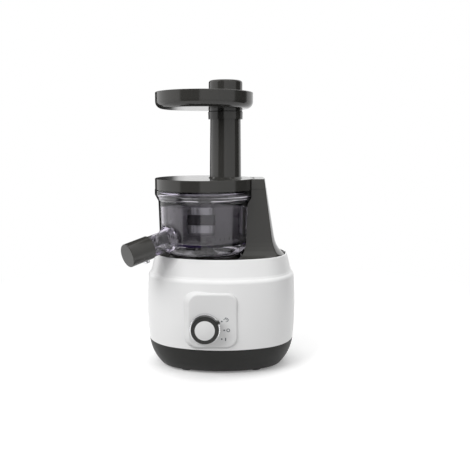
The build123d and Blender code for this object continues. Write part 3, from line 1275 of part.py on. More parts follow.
def auger():
    reach = STRAINER_RADIUS - STRAINER_WALL - MESH_THICK - FLIGHT_CLEAR
    envelope = turned(
        [(0, AUGER_BASE), (reach, AUGER_BASE), (reach, FLIGHT_TOP - FLIGHT_BEVEL),
         (reach - FLIGHT_BEVEL, FLIGHT_TOP), (0, FLIGHT_TOP)],
    )
    body = auger_form() - disc(NECK_RADIUS, FLIGHT_TOP, AUGER_PIN_TOP)
    flight = auger_flight()
    for step in range(FLIGHT_COUNT):
        turn = Pos(BOWL_X, 0, AUGER_BASE + FLIGHT_START) * Rot(0, 0, step * 360 / FLIGHT_COUNT)
        body += (turn * flight) & envelope
    body -= disc(AUGER_PIN_RADIUS + SHAFT_GAP, DRIVE_TOP, AUGER_PIN_TOP)
    return body - disc(BOWL_HUB_OUTER, BOWL_HUB_TOP, DRIVE_TOP + SOCKET_ROOF)


def auger_socket():
    """Metal core of the auger: below, the socket for the drive shaft's hexagon; above, the pin."""
    low = BOWL_HUB_TOP + 2 * SEAT_GAP
    core = disc(BOWL_HUB_OUTER - SHAFT_GAP, low, DRIVE_TOP + SOCKET_ROOF)
    core += disc(AUGER_PIN_RADIUS, DRIVE_TOP + SEAT_GAP, AUGER_TOP)
    core += auger_form() - disc(AUGER_BASE_RADIUS + 1, 0, FLIGHT_TOP + SHAFT_GAP)
    bore = extrude(hexagon(DRIVE_HEX + 2 * HEX_GAP), DRIVE_TOP + SEAT_GAP - low)
    return core - Pos(BOWL_X, 0, low) * bore


def idler_gear():
    face = gear_outline(JUICE_MODULE, IDLER_TEETH, idler_phase()) - Circle(PIN_RADIUS)
    low = GEAR_LOW + SEAT_GAP
    return Pos(IDLER_AXIS[0], IDLER_AXIS[1], low) * extrude(face, GEAR_HIGH - 2 * SEAT_GAP - low)


def idler_pin():
    return disc(PIN_RADIUS - SHAFT_GAP, FLOOR_HEIGHT - PIN_SINK, GEAR_HIGH - SEAT_GAP, IDLER_AXIS)


def windows(count, width, low, high, radius, corner):
    """Rounded cutters that stand round the bowl axis."""
    upright = Rot(0, 0, 90) * Rot(90, 0, 0)
    cutter = upright * extrude(RectangleRounded(width, high - low, corner), WINDOW_REACH)
    up = Pos(0, 0, (low + high) / 2)
    places = around(count, radius - WINDOW_REACH / 2, BOWL_AXIS, WINDOW_START)
    return [up * place * cutter for place in places]


def brush_frame():
    ring_face = ring_outline(JUICE_MODULE, RING_TEETH, BRUSH_RADIUS, ring_phase())
    ring = Pos(BOWL_X, 0, GEAR_LOW) * extrude(ring_face, GEAR_HIGH - GEAR_LOW)
    wall = tube(BRUSH_RADIUS, BRUSH_RADIUS - BRUSH_WALL, GEAR_HIGH, BRUSH_TOP)
    notch_high = GEAR_HIGH - NOTCH_DROP
    notch = block(
        (-NOTCH_DEPTH, -NOTCH_WIDTH / 2, notch_high - NOTCH_HEIGHT),
        (NOTCH_DEPTH, NOTCH_WIDTH / 2, notch_high),
    )
    ring -= [place * notch for place in around(RING_TEETH, BRUSH_RADIUS, BOWL_AXIS, ring_phase())]
    low, high = BRUSH_WINDOW_LOW, BRUSH_WINDOW_HIGH
    cutters = windows(BRUSH_WINDOWS, BRUSH_WINDOW_WIDTH, low, high, BRUSH_RADIUS, BRUSH_WINDOW_ROUND)
    return ring + wall - cutters


def wiper_blades():
    """Soft wipers on the ribs between the brush frame's windows."""
    blade = block(
        (0, -WIPER_WIDTH / 2, BRUSH_WINDOW_LOW),
        (WIPER_REACH - BRUSH_RADIUS, WIPER_WIDTH / 2, BRUSH_WINDOW_HIGH),
    )
    places = around(WIPER_COUNT, BRUSH_RADIUS, BOWL_AXIS, WINDOW_START + 180 / BRUSH_WINDOWS)
    return [place * blade for place in places]


def strainer_frame():
    """Cage of the strainer, with the flange that hangs on the bowl's inner shoulder."""
    outer = STRAINER_RADIUS
    inner = outer - STRAINER_WALL
    floor_top = STRAINER_FLOOR + STRAINER_FLOOR_THICK
    frame = tube(outer, inner, STRAINER_FLOOR, STRAINER_TOP)
    frame += tube(STRAINER_FLANGE_RADIUS, inner, STRAINER_LOW, STRAINER_TOP)
    width = 2 * math.pi * outer / STRAINER_COLUMNS - STRAINER_COLUMN_WIDTH
    low_row = (floor_top + STRAINER_SILL, STRAINER_BAND_LOW)
    high_row = (STRAINER_BAND_HIGH, STRAINER_SEAT - STRAINER_SILL)
    for low, high in (low_row, high_row):
        frame -= windows(STRAINER_COLUMNS, width, low, high, outer, STRAINER_WINDOW_ROUND)
    return frame


def strainer_floor():
    """Floor of the strainer, with the hole that the pulp leaves by."""
    outer = STRAINER_RADIUS - STRAINER_WALL - SHAFT_GAP
    floor_top = STRAINER_FLOOR + STRAINER_FLOOR_THICK
    floor = tube(outer, NECK_RADIUS + 1, STRAINER_FLOOR, floor_top)
    return floor - disc(PULP_TUBE_INNER, STRAINER_FLOOR - 1, floor_top + 1, (BOWL_X, PULP_Y))


def strainer_mesh():
    """Fine metal sheet inside the frame."""
    inner = STRAINER_RADIUS - STRAINER_WALL
    return tube(inner, inner - MESH_THICK, STRAINER_FLOOR + STRAINER_FLOOR_THICK, STRAINER_SEAT)


# ---------------------------------------------------------------- lid, tray and pusher
def lid():
    low = BOWL_TOP + SEAT_GAP
    roof = LID_TOP - LID_WALL
    disc_outline = [(0, low), (LID_RADIUS, low), (LID_RADIUS, LID_TOP), (0, LID_TOP)]
    shell = turned(disc_outline, [0, 0, LID_EDGE_ROUND, 0])
    shell -= disc(LID_RADIUS - LID_WALL, low - 1, roof)
    shell += tube(LID_SPIGOT_OUTER, LID_SPIGOT_OUTER - LID_SPIGOT_WALL, LID_SPIGOT_LOW, roof)
    shell += disc(LID_BOSS_RADIUS, LID_BOSS_LOW, roof)
    shell -= disc(FEED_BORE, roof - 1, LID_TOP + 1, FEED_AXIS)
    return shell - disc(AUGER_PIN_RADIUS + 2 * SHAFT_GAP, LID_BOSS_LOW - 1, AUGER_PIN_TOP + 2 * SEAT_GAP)


def feed_tube():
    """Tube that stands on the lid and leads the produce down to the auger."""
    foot = FEED_LOW_RADIUS + FEED_FILLET
    tube_form = turned(
        [(0, LID_TOP), (foot, LID_TOP), (FEED_LOW_RADIUS, LID_TOP + FEED_FILLET),
         (FEED_HIGH_RADIUS, FEED_TOP), (0, FEED_TOP)],
        at=FEED_AXIS,
    )
    return tube_form - disc(FEED_BORE, LID_TOP - 1, FEED_TOP + 1, FEED_AXIS)


def lid_gasket():
    outer = LID_SPIGOT_OUTER + GASKET_THICK
    low = LID_SPIGOT_LOW + GASKET_RAISE
    return tube(outer, LID_SPIGOT_OUTER, low, low + GASKET_HEIGHT)


def feed_tray():
    """Round tray with the sleeve that slips over the feed tube."""
    side = TRAY_RADIUS - TRAY_WALL
    floor = TRAY_LOW + TRAY_WALL
    tray = turned(
        [(0, TRAY_LOW), (TRAY_RADIUS, TRAY_LOW), (TRAY_RADIUS, TRAY_TOP), (0, TRAY_TOP)],
        [0, TRAY_CORNER, TRAY_RIM_ROUND, 0],
    )
    tray -= turned(
        [(0, floor), (side, floor), (side, TRAY_TOP + 1), (0, TRAY_TOP + 1)],
        [0, TRAY_CORNER - TRAY_WALL, 0, 0],
    )
    lip = NECK_GROOVE_HEIGHT - 1
    high = TRAY_LOW + 1
    tray += turned(
        [(0, SLEEVE_LOW), (SLEEVE_RADIUS - SLEEVE_DRAFT, SLEEVE_LOW), (SLEEVE_RADIUS, lip),
         (SLEEVE_RADIUS - NECK_GROOVE_DEPTH, NECK_GROOVE_HEIGHT), (SLEEVE_RADIUS, high), (0, high)],
        at=FEED_AXIS,
    )
    tray -= disc(FEED_HIGH_RADIUS + SLEEVE_GAP, SLEEVE_LOW - 1, TRAY_LOW, FEED_AXIS)
    return tray - disc(FEED_BORE, SLEEVE_LOW - 1, floor + 1, FEED_AXIS)


def pusher_stem():
    low, high = PUSHER_LOW, PUSHER_TOP - PUSHER_WALL
    stem = disc(PUSHER_STEM_RADIUS, low, high, FEED_AXIS)
    stem = fillet(stem.edges().sort_by(Axis.Z)[:1], PUSHER_STEM_ROUND)
    return stem - disc(PUSHER_STEM_RADIUS - PUSHER_WALL, low + PUSHER_WALL, high + 1, FEED_AXIS)


def pusher_head():
    low = TRAY_LOW + TRAY_WALL + SEAT_GAP
    head = disc(PUSHER_HEAD_RADIUS, low, PUSHER_TOP, FEED_AXIS)
    head = fillet(head.edges().sort_by(Axis.Z)[-1:], PUSHER_HEAD_ROUND)
    return head - disc(PUSHER_STEM_RADIUS, low - 1, PUSHER_TOP - PUSHER_WALL, FEED_AXIS)


NODES = [
    base_housing, base_pan, rubber_feet, cord_gland, deck_tower, tower_cap, control_panel,
    control_knob, knob_sleeve, knob_cap, switch_shaft, rotary_switch, motor_can, motor_bracket,
    motor_bearings, motor_stator, motor_windings, motor_rotor, motor_shaft, motor_fan, screws,
    gearbox_case, gearbox_cover, intermediate_pin, intermediate_gear, output_gear, drive_shaft,
    shaft_bush, shaft_seal, gearbox_dampers, circuit_board, board_components, reed_switch,
    safety_magnet, juice_bowl, bowl_rim, bowl_floor, juice_spout, pulp_outlet, pulp_seal,
    spout_seal, spout_cap, pour_nozzle, bowl_hub_seal, auger, sun_gear, auger_socket,
    idler_gear, idler_pin, brush_frame, wiper_blades, strainer_frame, strainer_floor,
    strainer_mesh, lid, feed_tube, lid_gasket, feed_tray, pusher_stem, pusher_head,
]

os.makedirs("parts", exist_ok=True)
for make in NODES:
    shape = make()
    pieces = shape if isinstance(shape, list) else [shape]
    solids = [solid for piece in pieces for solid in piece.solids()]
    export_step(Compound(children=solids), f"parts/{make.__name__}.step")
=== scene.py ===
import json
import math

import bmesh
import bpy
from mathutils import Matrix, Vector


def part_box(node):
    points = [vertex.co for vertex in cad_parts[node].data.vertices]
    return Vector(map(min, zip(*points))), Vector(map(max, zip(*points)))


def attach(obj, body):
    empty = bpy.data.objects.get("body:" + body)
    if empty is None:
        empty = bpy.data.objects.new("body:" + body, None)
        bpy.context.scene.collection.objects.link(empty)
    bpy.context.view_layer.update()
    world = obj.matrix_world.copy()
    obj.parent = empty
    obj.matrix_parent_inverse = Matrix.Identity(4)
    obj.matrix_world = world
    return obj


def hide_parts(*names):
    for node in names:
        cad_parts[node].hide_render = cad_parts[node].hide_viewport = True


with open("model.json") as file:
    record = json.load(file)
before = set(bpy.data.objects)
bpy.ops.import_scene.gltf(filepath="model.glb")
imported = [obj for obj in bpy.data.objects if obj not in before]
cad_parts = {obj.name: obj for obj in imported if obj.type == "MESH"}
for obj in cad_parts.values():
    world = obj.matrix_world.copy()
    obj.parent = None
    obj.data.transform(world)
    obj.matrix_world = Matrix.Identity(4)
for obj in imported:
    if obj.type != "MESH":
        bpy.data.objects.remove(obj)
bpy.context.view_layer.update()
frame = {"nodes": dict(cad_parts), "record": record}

NODES = frame["nodes"]
SLOT_OF = {part["node"]: part["material_slot"] for part in frame["record"]["subparts"]}
SCENE = bpy.context.scene
MM = 0.001

# ---------------------------------------------------------------- node helpers


def add(tree, kind, **values):
    """One shader node, with its properties and its inputs set by name."""
    node = tree.nodes.new(kind)
    for key, value in values.items():
        if hasattr(node, key):
            setattr(node, key, value)
        else:
            node.inputs[key.replace("_", " ")].default_value = value
    return node


def wire(tree, source, target):
    """Link an output socket to an input socket."""
    tree.links.new(source, target)


def maths(tree, operation, first, second=None):
    """A maths node whose inputs are sockets or numbers."""
    node = tree.nodes.new("ShaderNodeMath")
    node.operation = operation
    for slot, value in enumerate((first, second)):
        if value is None:
            continue
        if isinstance(value, (int, float)):
            node.inputs[slot].default_value = value
        else:
            wire(tree, value, node.inputs[slot])
    return node.outputs[0]


def noise(tree, place, scale, detail=3.0, rough=0.55):
    """Soft noise between about 0.3 and 0.7."""
    node = add(tree, "ShaderNodeTexNoise")
    node.inputs["Scale"].default_value = scale
    node.inputs["Detail"].default_value = detail
    node.inputs["Roughness"].default_value = rough
    wire(tree, place, node.inputs["Vector"])
    return node.outputs["Fac"]


def remap(tree, value, low, high, from_low=0.3, from_high=0.7):
    """Map a value's range onto low to high, clamped at both ends."""
    node = tree.nodes.new("ShaderNodeMapRange")
    node.inputs["From Min"].default_value = from_low
    node.inputs["From Max"].default_value = from_high
    node.inputs["To Min"].default_value = low
    node.inputs["To Max"].default_value = high
    wire(tree, value, node.inputs["Value"])
    return node.outputs["Result"]


def blend_colour(tree, factor, first, second):
    """Mix two colours by a factor socket."""
    node = tree.nodes.new("ShaderNodeMix")
    node.data_type = "RGBA"
    node.inputs[6].default_value = (*first, 1.0)
    node.inputs[7].default_value = (*second, 1.0)
    wire(tree, factor, node.inputs[0])
    return node.outputs[2]


def scaled(colour, factor):
    """A colour made lighter or darker by a factor."""
    return tuple(min(1.0, part * factor) for part in colour)


def bump(tree, height, distance, strength=1.0):
    """A bumped normal from a height socket; distance is in metres."""
    node = tree.nodes.new("ShaderNodeBump")
    node.inputs["Distance"].default_value = distance
    node.inputs["Strength"].default_value = strength
    wire(tree, height, node.inputs["Height"])
    return node.outputs["Normal"]


def scale_colour(tree, colour, factor):
    """A colour socket multiplied by a number socket."""
    node = tree.nodes.new("ShaderNodeVectorMath")
    node.operation = "SCALE"
    wire(tree, colour, node.inputs[0])
    wire(tree, factor, node.inputs["Scale"])
    return node.outputs["Vector"]


class Finish:
    """A Principled material with the object's rest-frame coordinates at hand."""

    def __init__(self, name):
        self.material = bpy.data.materials.new(name)
        self.material.use_nodes = True
        self.tree = self.material.node_tree
        self.shader = self.tree.nodes["Principled BSDF"]
        self.place = self.tree.nodes.new("ShaderNodeTexCoord").outputs["Object"]

    def set(self, **values):
        """Set shader inputs to constants, by name with underscores for spaces."""
        for key, value in values.items():
            self.shader.inputs[key.replace("_", " ")].default_value = value
        return self

    def link(self, socket, name):
        """Drive one shader input by a socket."""
        wire(self.tree, socket, self.shader.inputs[name])
        return self


def moulded(name, colour, rough, spread=0.04, grain=900.0, depth=0.00002, vary=0.03, **values):
    """Injection-moulded plastic: faint tone drift, uneven gloss and a fine moulded skin."""
    look = Finish(name)
    drift = noise(look.tree, look.place, 14.0, 2.0)
    tint = blend_colour(look.tree, drift, scaled(colour, 1.0 - vary), scaled(colour, 1.0 + vary))
    look.link(tint, "Base Color")
    gloss = noise(look.tree, look.place, 60.0, 4.0)
    look.link(remap(look.tree, gloss, rough - spread, rough + spread), "Roughness")
    skin = noise(look.tree, look.place, grain, 2.0, 0.5)
    look.link(bump(look.tree, skin, depth, 0.6), "Normal")
    return look.set(**values)


GAP_SAMPLES = 8
GAP_RANGE = (0.25, 0.8)  # openness of a spot that is fully toned down, and of one that isn't


def paint_gap_shade(look, source, reach, least):
    """Painted shade: darken a colour in narrow gaps and inner corners, where little light gets in."""
    gap = look.tree.nodes.new("ShaderNodeAmbientOcclusion")
    gap.inputs["Distance"].default_value = reach
    gap.samples = GAP_SAMPLES
    shade = remap(look.tree, gap.outputs["AO"], least, 1.0, *GAP_RANGE)
    return look.link(scale_colour(look.tree, source, shade), "Base Color")


def clear(name, colour, rough, depth, soak=None, **values):
    """Clear moulded plastic with faint flow lines; soak is the colour and density of thick walls."""
    look = Finish(name)
    if soak is not None:
        volume = look.tree.nodes.new("ShaderNodeVolumeAbsorption")
        volume.inputs["Color"].default_value = (*soak[0], 1.0)
        volume.inputs["Density"].default_value = soak[1]
        wire(look.tree, volume.outputs[0], look.tree.nodes["Material Output"].inputs["Volume"])
    drift = noise(look.tree, look.place, 20.0, 2.0)
    tint = blend_colour(look.tree, drift, scaled(colour, 0.985), scaled(colour, 1.01))
    look.link(tint, "Base Color")
    gloss = noise(look.tree, look.place, 80.0, 3.0)
    look.link(remap(look.tree, gloss, max(0.0, rough - 0.01), rough + 0.015), "Roughness")
    flow = noise(look.tree, look.place, 120.0, 2.0, 0.5)
    look.link(bump(look.tree, flow, depth, 0.5), "Normal")
    return look.set(Transmission_Weight=1.0, IOR=1.5, **values)


def metal(name, colour, rough, stretch=(1.0, 1.0, 40.0), depth=0.00001, **values):
    """Turned or drawn metal: streaks along one direction in gloss and height."""
    look = Finish(name)
    spread = add(look.tree, "ShaderNodeMapping")
    spread.inputs["Scale"].default_value = stretch
    wire(look.tree, look.place, spread.inputs["Vector"])
    streak = noise(look.tree, spread.outputs["Vector"], 120.0, 4.0, 0.6)
    tint = blend_colour(look.tree, streak, scaled(colour, 0.9), scaled(colour, 1.08))
    look.link(tint, "Base Color")
    look.link(remap(look.tree, streak, rough - 0.05, rough + 0.1), "Roughness")
    look.link(bump(look.tree, streak, depth, 0.5), "Normal")
    return look.set(Metallic=1.0, **values)


# ---------------------------------------------------------------- materials of the slots


MESH_STEEL = (0.58, 0.58, 0.60)
HOLE_PAINTED_SHADE = (0.03, 0.03, 0.033)


def perforated_steel():
    """Fine sheet with round holes about a millimetre apart; the holes are painted near-black, as painted
    shade for the dark seen through them.
    """
    look = metal("perforated_steel", MESH_STEEL, 0.35)
    cells = add(look.tree, "ShaderNodeTexVoronoi")
    cells.inputs["Scale"].default_value = 900.0
    cells.inputs["Randomness"].default_value = 0.0
    wire(look.tree, look.place, cells.inputs["Vector"])
    hole = remap(look.tree, cells.outputs["Distance"], 0.0, 1.0, 0.24, 0.32)
    # the holes get a near-black colour: painted shade where the sheet is open
    tint = blend_colour(look.tree, hole, HOLE_PAINTED_SHADE, MESH_STEEL)
    look.link(tint, "Base Color")
    look.link(bump(look.tree, hole, 0.0002, 0.8), "Normal")
    return look.set(Metallic=0.3)


def copper_wire():
    """Enamelled wire, wound in close turns, with painted shade in the grooves between turns and a
    painted highlight on their crests.
    """
    look = Finish("copper_wire")
    turns = add(look.tree, "ShaderNodeTexWave")
    turns.inputs["Scale"].default_value = 260.0
    turns.inputs["Distortion"].default_value = 2.0
    turns.inputs["Detail Scale"].default_value = 2.0
    wire(look.tree, look.place, turns.inputs["Vector"])
    # painted shade in the grooves and painted highlight on the crests of the turns
    tint = blend_colour(look.tree, turns.outputs["Fac"], (0.28, 0.09, 0.03), (0.72, 0.33, 0.14))
    look.link(tint, "Base Color")
    look.link(remap(look.tree, turns.outputs["Fac"], 0.42, 0.24, 0.0, 1.0), "Roughness")
    look.link(bump(look.tree, turns.outputs["Fac"], 0.0003, 0.8), "Normal")
    return look.set(Metallic=0.9)


def circuit_laminate():
    """Green board with paler tracks."""
    look = Finish("circuit_laminate")
    tracks = add(look.tree, "ShaderNodeTexVoronoi", feature="DISTANCE_TO_EDGE")
    tracks.inputs["Scale"].default_value = 240.0
    wire(look.tree, look.place, tracks.inputs["Vector"])
    line = remap(look.tree, tracks.outputs["Distance"], 1.0, 0.0, 0.03, 0.06)
    tint = blend_colour(look.tree, line, (0.02, 0.12, 0.05), (0.06, 0.24, 0.11))
    look.link(tint, "Base Color")
    look.link(remap(look.tree, line, 0.45, 0.3, 0.0, 1.0), "Roughness")
    look.link(bump(look.tree, line, 0.00005, 0.6), "Normal")
    return look


STRAINER_GREY = (0.27, 0.262, 0.275)
BAND_GREY = (0.055, 0.052, 0.058)
BAND_RISE = 16.6 * MM    # of the strainer's dark band above the strainer's floor
BAND_WIDTH = 14.5 * MM
BAND_EDGE = 0.2 * MM
BRUSH_GREY = (0.165, 0.157, 0.173)
BRUSH_VARY = 0.03


def strainer_plastic():
    """Light grey plastic with the dark band that runs round the strainer between its windows, and
    painted shade in its gaps and corners.
    """
    look = moulded("strainer_plastic", STRAINER_GREY, 0.3, 0.04)
    parts = look.tree.nodes.new("ShaderNodeSeparateXYZ")
    wire(look.tree, look.place, parts.inputs[0])
    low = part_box("strainer_frame")[0].z + BAND_RISE
    high = low + BAND_WIDTH
    level = parts.outputs["Z"]
    above = remap(look.tree, level, 0.0, 1.0, low - BAND_EDGE, low + BAND_EDGE)
    below = remap(look.tree, level, 1.0, 0.0, high - BAND_EDGE, high + BAND_EDGE)
    band = maths(look.tree, "MULTIPLY", above, below)
    tint = blend_colour(look.tree, band, STRAINER_GREY, BAND_GREY)
    # painted shade in the gaps and inner corners of the strainer
    return paint_gap_shade(look, tint, 4.0 * MM, 0.3)


def brush_plastic():
    """Grey plastic with painted shade in its notches and at its window edges."""
    look = moulded("brush_plastic", BRUSH_GREY, 0.30, 0.04)
    drift = noise(look.tree, look.place, 14.0, 2.0)
    tint = blend_colour(look.tree, drift, scaled(BRUSH_GREY, 1.0 - BRUSH_VARY),
                        scaled(BRUSH_GREY, 1.0 + BRUSH_VARY))
    # painted shade in the notches and at the window edges
    return paint_gap_shade(look, tint, 5.0 * MM, 0.2)


DARK = (0.040, 0.039, 0.036)
KNOB_DARK = (0.020, 0.020, 0.019)
SMOKE = (0.985, 0.98, 0.99)
SMOKE_DEPTH = ((0.18, 0.08, 0.32), 40.0)    # colour and density of the thick walls

LOOKS = {
    "white_shell": moulded("white_shell", (0.82, 0.82, 0.82), 0.30, 0.008, 1100.0, 0.000006, 0.003,
                           IOR=1.5),
    "dark_plastic": moulded("dark_plastic", DARK, 0.13, 0.02, 700.0, 0.000004, 0.04, IOR=1.5),
    "skirt_plastic": moulded("skirt_plastic", (0.017, 0.017, 0.016), 0.48, 0.04, 1300.0, 0.00002,
                             0.05, Specular_IOR_Level=0.25),
    "smoke_clear": clear("smoke_clear", SMOKE, 0.012, 0.00003, SMOKE_DEPTH),
    "clear_plastic": clear("clear_plastic", (0.95, 0.95, 0.97), 0.03, 0.00004),
    "strainer_plastic": strainer_plastic(),
    "brush_plastic": brush_plastic(),
    "mesh_steel": perforated_steel(),
    "silicone": moulded("silicone", (0.35, 0.34, 0.37), 0.5, 0.06, 600.0, 0.00004, 0.05),
    "black_rubber": moulded("black_rubber", (0.022, 0.022, 0.022), 0.68, 0.06, 900.0, 0.00006,
                            0.12),
    "panel_plastic": moulded("panel_plastic", (0.72, 0.72, 0.72), 0.36, 0.03, 1500.0, 0.00002,
                             0.01),
    "chrome_trim": metal("chrome_trim", (0.78, 0.78, 0.79), 0.14),
    "steel": metal("steel", (0.52, 0.52, 0.53), 0.3),
    "gear_plastic": moulded("gear_plastic", (0.76, 0.74, 0.68), 0.42, 0.05, 500.0, 0.00004, 0.04),
    "copper_wire": copper_wire(),
    "board": circuit_laminate(),
    "dark_case": moulded("dark_case", (0.05, 0.05, 0.055), 0.45, 0.06, 900.0, 0.00005, 0.08),
}

for name, obj in NODES.items():
    obj.data.materials.clear()
    obj.data.materials.append(LOOKS[SLOT_OF[name]].material)

KNOB_SATIN = moulded("knob_satin", KNOB_DARK, 0.30, 0.03, 900.0, 0.00001, 0.04,
                     Specular_IOR_Level=0.3)
NODES["control_knob"].data.materials[0] = KNOB_SATIN.material

# ---------------------------------------------------------------- the bowl as one clear moulding

SEAM = 0.4 * MM          # how far the welded pieces reach into each other
RIM_SEAM = 0.05 * MM     # the same under the rim, which stands on the wall
JOIN = 0.002 * MM        # split corners nearer than this are one
SMOOTH_BELOW = math.radians(28.0)
BOWL_AXIS = Vector(((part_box("bowl_rim")[0].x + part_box("bowl_rim")[1].x) / 2, 0.0, 0.0))


def plain_copy(node):
    """A copy of a node with its split corners joined, so it encloses a volume."""
    mesh = bmesh.new()
    mesh.from_mesh(NODES[node].data)
    bmesh.ops.remove_doubles(mesh, verts=mesh.verts, dist=JOIN)
    data = bpy.data.meshes.new(f"{node}_copy")
    mesh.to_mesh(data)
    mesh.free()
    copy = bpy.data.objects.new(f"{node}_copy", data)
    SCENE.collection.objects.link(copy)
    return copy


def shift_radially(obj, low, high, step):
    """Move the points between two radii about the bowl's axis by a step outwards."""
    for vertex in obj.data.vertices:
        arm = Vector((vertex.co.x - BOWL_AXIS.x, vertex.co.y, 0.0))
        if low < arm.length < high:
            vertex.co += arm.normalized() * step


CLEAR_NODES = ("juice_bowl", "bowl_rim", "bowl_floor", "juice_spout")


def clear_bowl():
    """Wall, rim, floor and spout of the bowl are welded, so no face is left between them."""
    floor_radius = (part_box("bowl_floor")[1].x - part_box("bowl_floor")[0].x) / 2
    wall_radius = (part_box("juice_bowl")[1].x - BOWL_AXIS.x) + SEAM
    wall, rim, plate, spout = (plain_copy(node) for node in CLEAR_NODES)
    shift_radially(plate, floor_radius - SEAM, floor_radius + SEAM, SEAM)
    shift_radially(spout, 0.0, wall_radius, -SEAM)
    rim_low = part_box("bowl_rim")[0].z
    for vertex in rim.data.vertices:
        if vertex.co.z < rim_low + RIM_SEAM:
            vertex.co.z -= RIM_SEAM
    for other in (rim, plate, spout):
        union = wall.modifiers.new(other.name, "BOOLEAN")
        union.operation = "UNION"
        union.solver = "MANIFOLD"
        union.object = other
    graph = bpy.context.evaluated_depsgraph_get()
    data = bpy.data.meshes.new_from_object(wall.evaluated_get(graph))
    for spare in (wall, rim, plate, spout):
        bpy.data.objects.remove(spare)
    data.shade_smooth()
    data.set_sharp_from_angle(angle=SMOOTH_BELOW)
    data.materials.clear()
    data.materials.append(LOOKS["smoke_clear"].material)
    bowl = bpy.data.objects.new("clear_bowl", data)
    SCENE.collection.objects.link(bowl)
    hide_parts(*CLEAR_NODES)
    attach(bowl, "bowl")


clear_bowl()

# ---------------------------------------------------------------- printed marks of the panel

PANEL_FACE_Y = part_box("control_panel")[0].y
MARK_THICK = 0.12 * MM
MARK_SINK = 0.02 * MM
MARK_EDGE = 0.03 * MM    # height of the softened edge
MARK_DRAW = 0.06         # share by which the front face is narrower there
MARK_INK = moulded("mark_ink", (0.07, 0.085, 0.10), 0.5, 0.05, 1200.0, 0.00001, 0.05)


def mark_row(mesh, points, mates, level, draw):
    """Points of one side of a stroke at a level, drawn towards the other side by a share."""
    row = []
    for point, mate in zip(points, mates):
        x = point[0] + (mate[0] - point[0]) * draw
        z = point[1] + (mate[1] - point[1]) * draw
        row.append(mesh.verts.new((x * MM, level, z * MM)))
    return row


def mark_mesh(name, strokes, closed=True):
    """A thin raised print on the panel, from pairs of outer and inner lines, closed or open."""
    mesh = bmesh.new()
    front = PANEL_FACE_Y - MARK_THICK
    back = PANEL_FACE_Y + MARK_SINK
    steps = ((back, 0.0), (front + MARK_EDGE, 0.0), (front, MARK_DRAW))
    for outer, inner in strokes:
        loops = [mark_row(mesh, outer, inner, level, draw) for level, draw in steps]
        loops += [mark_row(mesh, inner, outer, level, draw) for level, draw in reversed(steps)]
        count = len(outer)
        for first, second in zip(loops, loops[1:] + loops[:1]):
            for index in range(count if closed else count - 1):
                following = (index + 1) % count
                mesh.faces.new((first[index], first[following], second[following], second[index]))
        if not closed:
            mesh.faces.new([row[0] for row in loops])
            mesh.faces.new([row[-1] for row in reversed(loops)])
    bmesh.ops.recalc_face_normals(mesh, faces=mesh.faces)
    data = bpy.data.meshes.new(name)
    mesh.to_mesh(data)
    mesh.free()
    data.shade_flat()
    data.materials.append(MARK_INK.material)
    obj = bpy.data.objects.new(name, data)
    SCENE.collection.objects.link(obj)
    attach(obj, "base")


def circle_loop(centre, radius, count=40):
    """Points of a circle on the panel, in mm."""
    return [(centre[0] + radius * math.cos(2 * math.pi * step / count),
             centre[1] + radius * math.sin(2 * math.pi * step / count)) for step in range(count)]


def arc_points(centre, radius, start, end, count=14):
    """Points of an arc on the panel, in mm, between two angles in degrees."""
    turns = [start + (end - start) * step / (count - 1) for step in range(count)]
    return [(centre[0] + radius * math.cos(math.radians(turn)),
             centre[1] + radius * math.sin(math.radians(turn))) for turn in turns]


def stroke(points, width):
    """Both sides of a pen stroke along points."""
    left, right = [], []
    for index, point in enumerate(points):
        before = points[max(0, index - 1)]
        after = points[min(len(points) - 1, index + 1)]
        run = Vector((after[0] - before[0], after[1] - before[1])).normalized()
        left.append((point[0] - run.y * width / 2, point[1] + run.x * width / 2))
        right.append((point[0] + run.y * width / 2, point[1] - run.x * width / 2))
    return left, right


# Places on the panel's face are (x, z) in mm.
DOT_CENTRE = (-21.4, 71.9)
DOT_REACH = 25.6
DOT_RADIUS = 1.1
DOT_SIDES = 24
DOT_EYE = 0.05
DOT_FIRST, DOT_LAST, DOT_COUNT = 30.0, -30.0, 3
OFF = (9.9, 71.9)
OFF_OUTER, OFF_INNER = 2.5, 1.6
ON = (6.2, 58.7)
ON_REACH = 2.2
ON_WIDTH = 1.5
BACK = (7.3, 86.9)

dots = arc_points(DOT_CENTRE, DOT_REACH, DOT_FIRST, DOT_LAST, DOT_COUNT)
for index, dot in enumerate(dots):
    mark_mesh(f"mark_dot_{index + 1}", [
        (circle_loop(dot, DOT_RADIUS, DOT_SIDES), circle_loop(dot, DOT_EYE, DOT_SIDES)),
    ])
mark_mesh("mark_off", [(circle_loop(OFF, OFF_OUTER), circle_loop(OFF, OFF_INNER))])
mark_mesh("mark_on", [
    stroke([(ON[0], ON[1] - ON_REACH), ON, (ON[0], ON[1] + ON_REACH)], ON_WIDTH),
], closed=False)
mark_mesh("mark_reverse", [
    stroke(arc_points(BACK, 2.6, 150.0, -110.0), 0.75),
    stroke(arc_points(BACK, 1.1, 150.0, -60.0), 0.6),
    stroke([(BACK[0] - 4.1, BACK[1] + 0.2), (BACK[0] - 2.3, BACK[1] + 1.5),
            (BACK[0] - 0.7, BACK[1] + 3.6)], 0.7),
], closed=False)

# ---------------------------------------------------------------- studio


FLOOR_REACH = 6.0
FLOOR_NEAR, FLOOR_FAR = 0.22, 0.75    # from the object, where the floor starts and ends turning white
FLOOR_TINT = 0.86
FLOOR_GLOW = 0.16        # near the object, where it is seen
FLOOR_BOUNCE = 0.4       # share of the tint that light on the object sees


def seen_rays(tree):
    """1 for camera rays and for gloss and clear plastic that the camera sees, 0 for lighting rays."""
    path = tree.nodes.new("ShaderNodeLightPath")
    seen = maths(tree, "MAXIMUM", path.outputs["Is Camera Ray"], path.outputs["Is Glossy Ray"])
    seen = maths(tree, "MAXIMUM", seen, path.outputs["Is Transmission Ray"])
    direct = maths(tree, "LESS_THAN", path.outputs["Diffuse Depth"], 0.5)
    return maths(tree, "MULTIPLY", seen, direct)


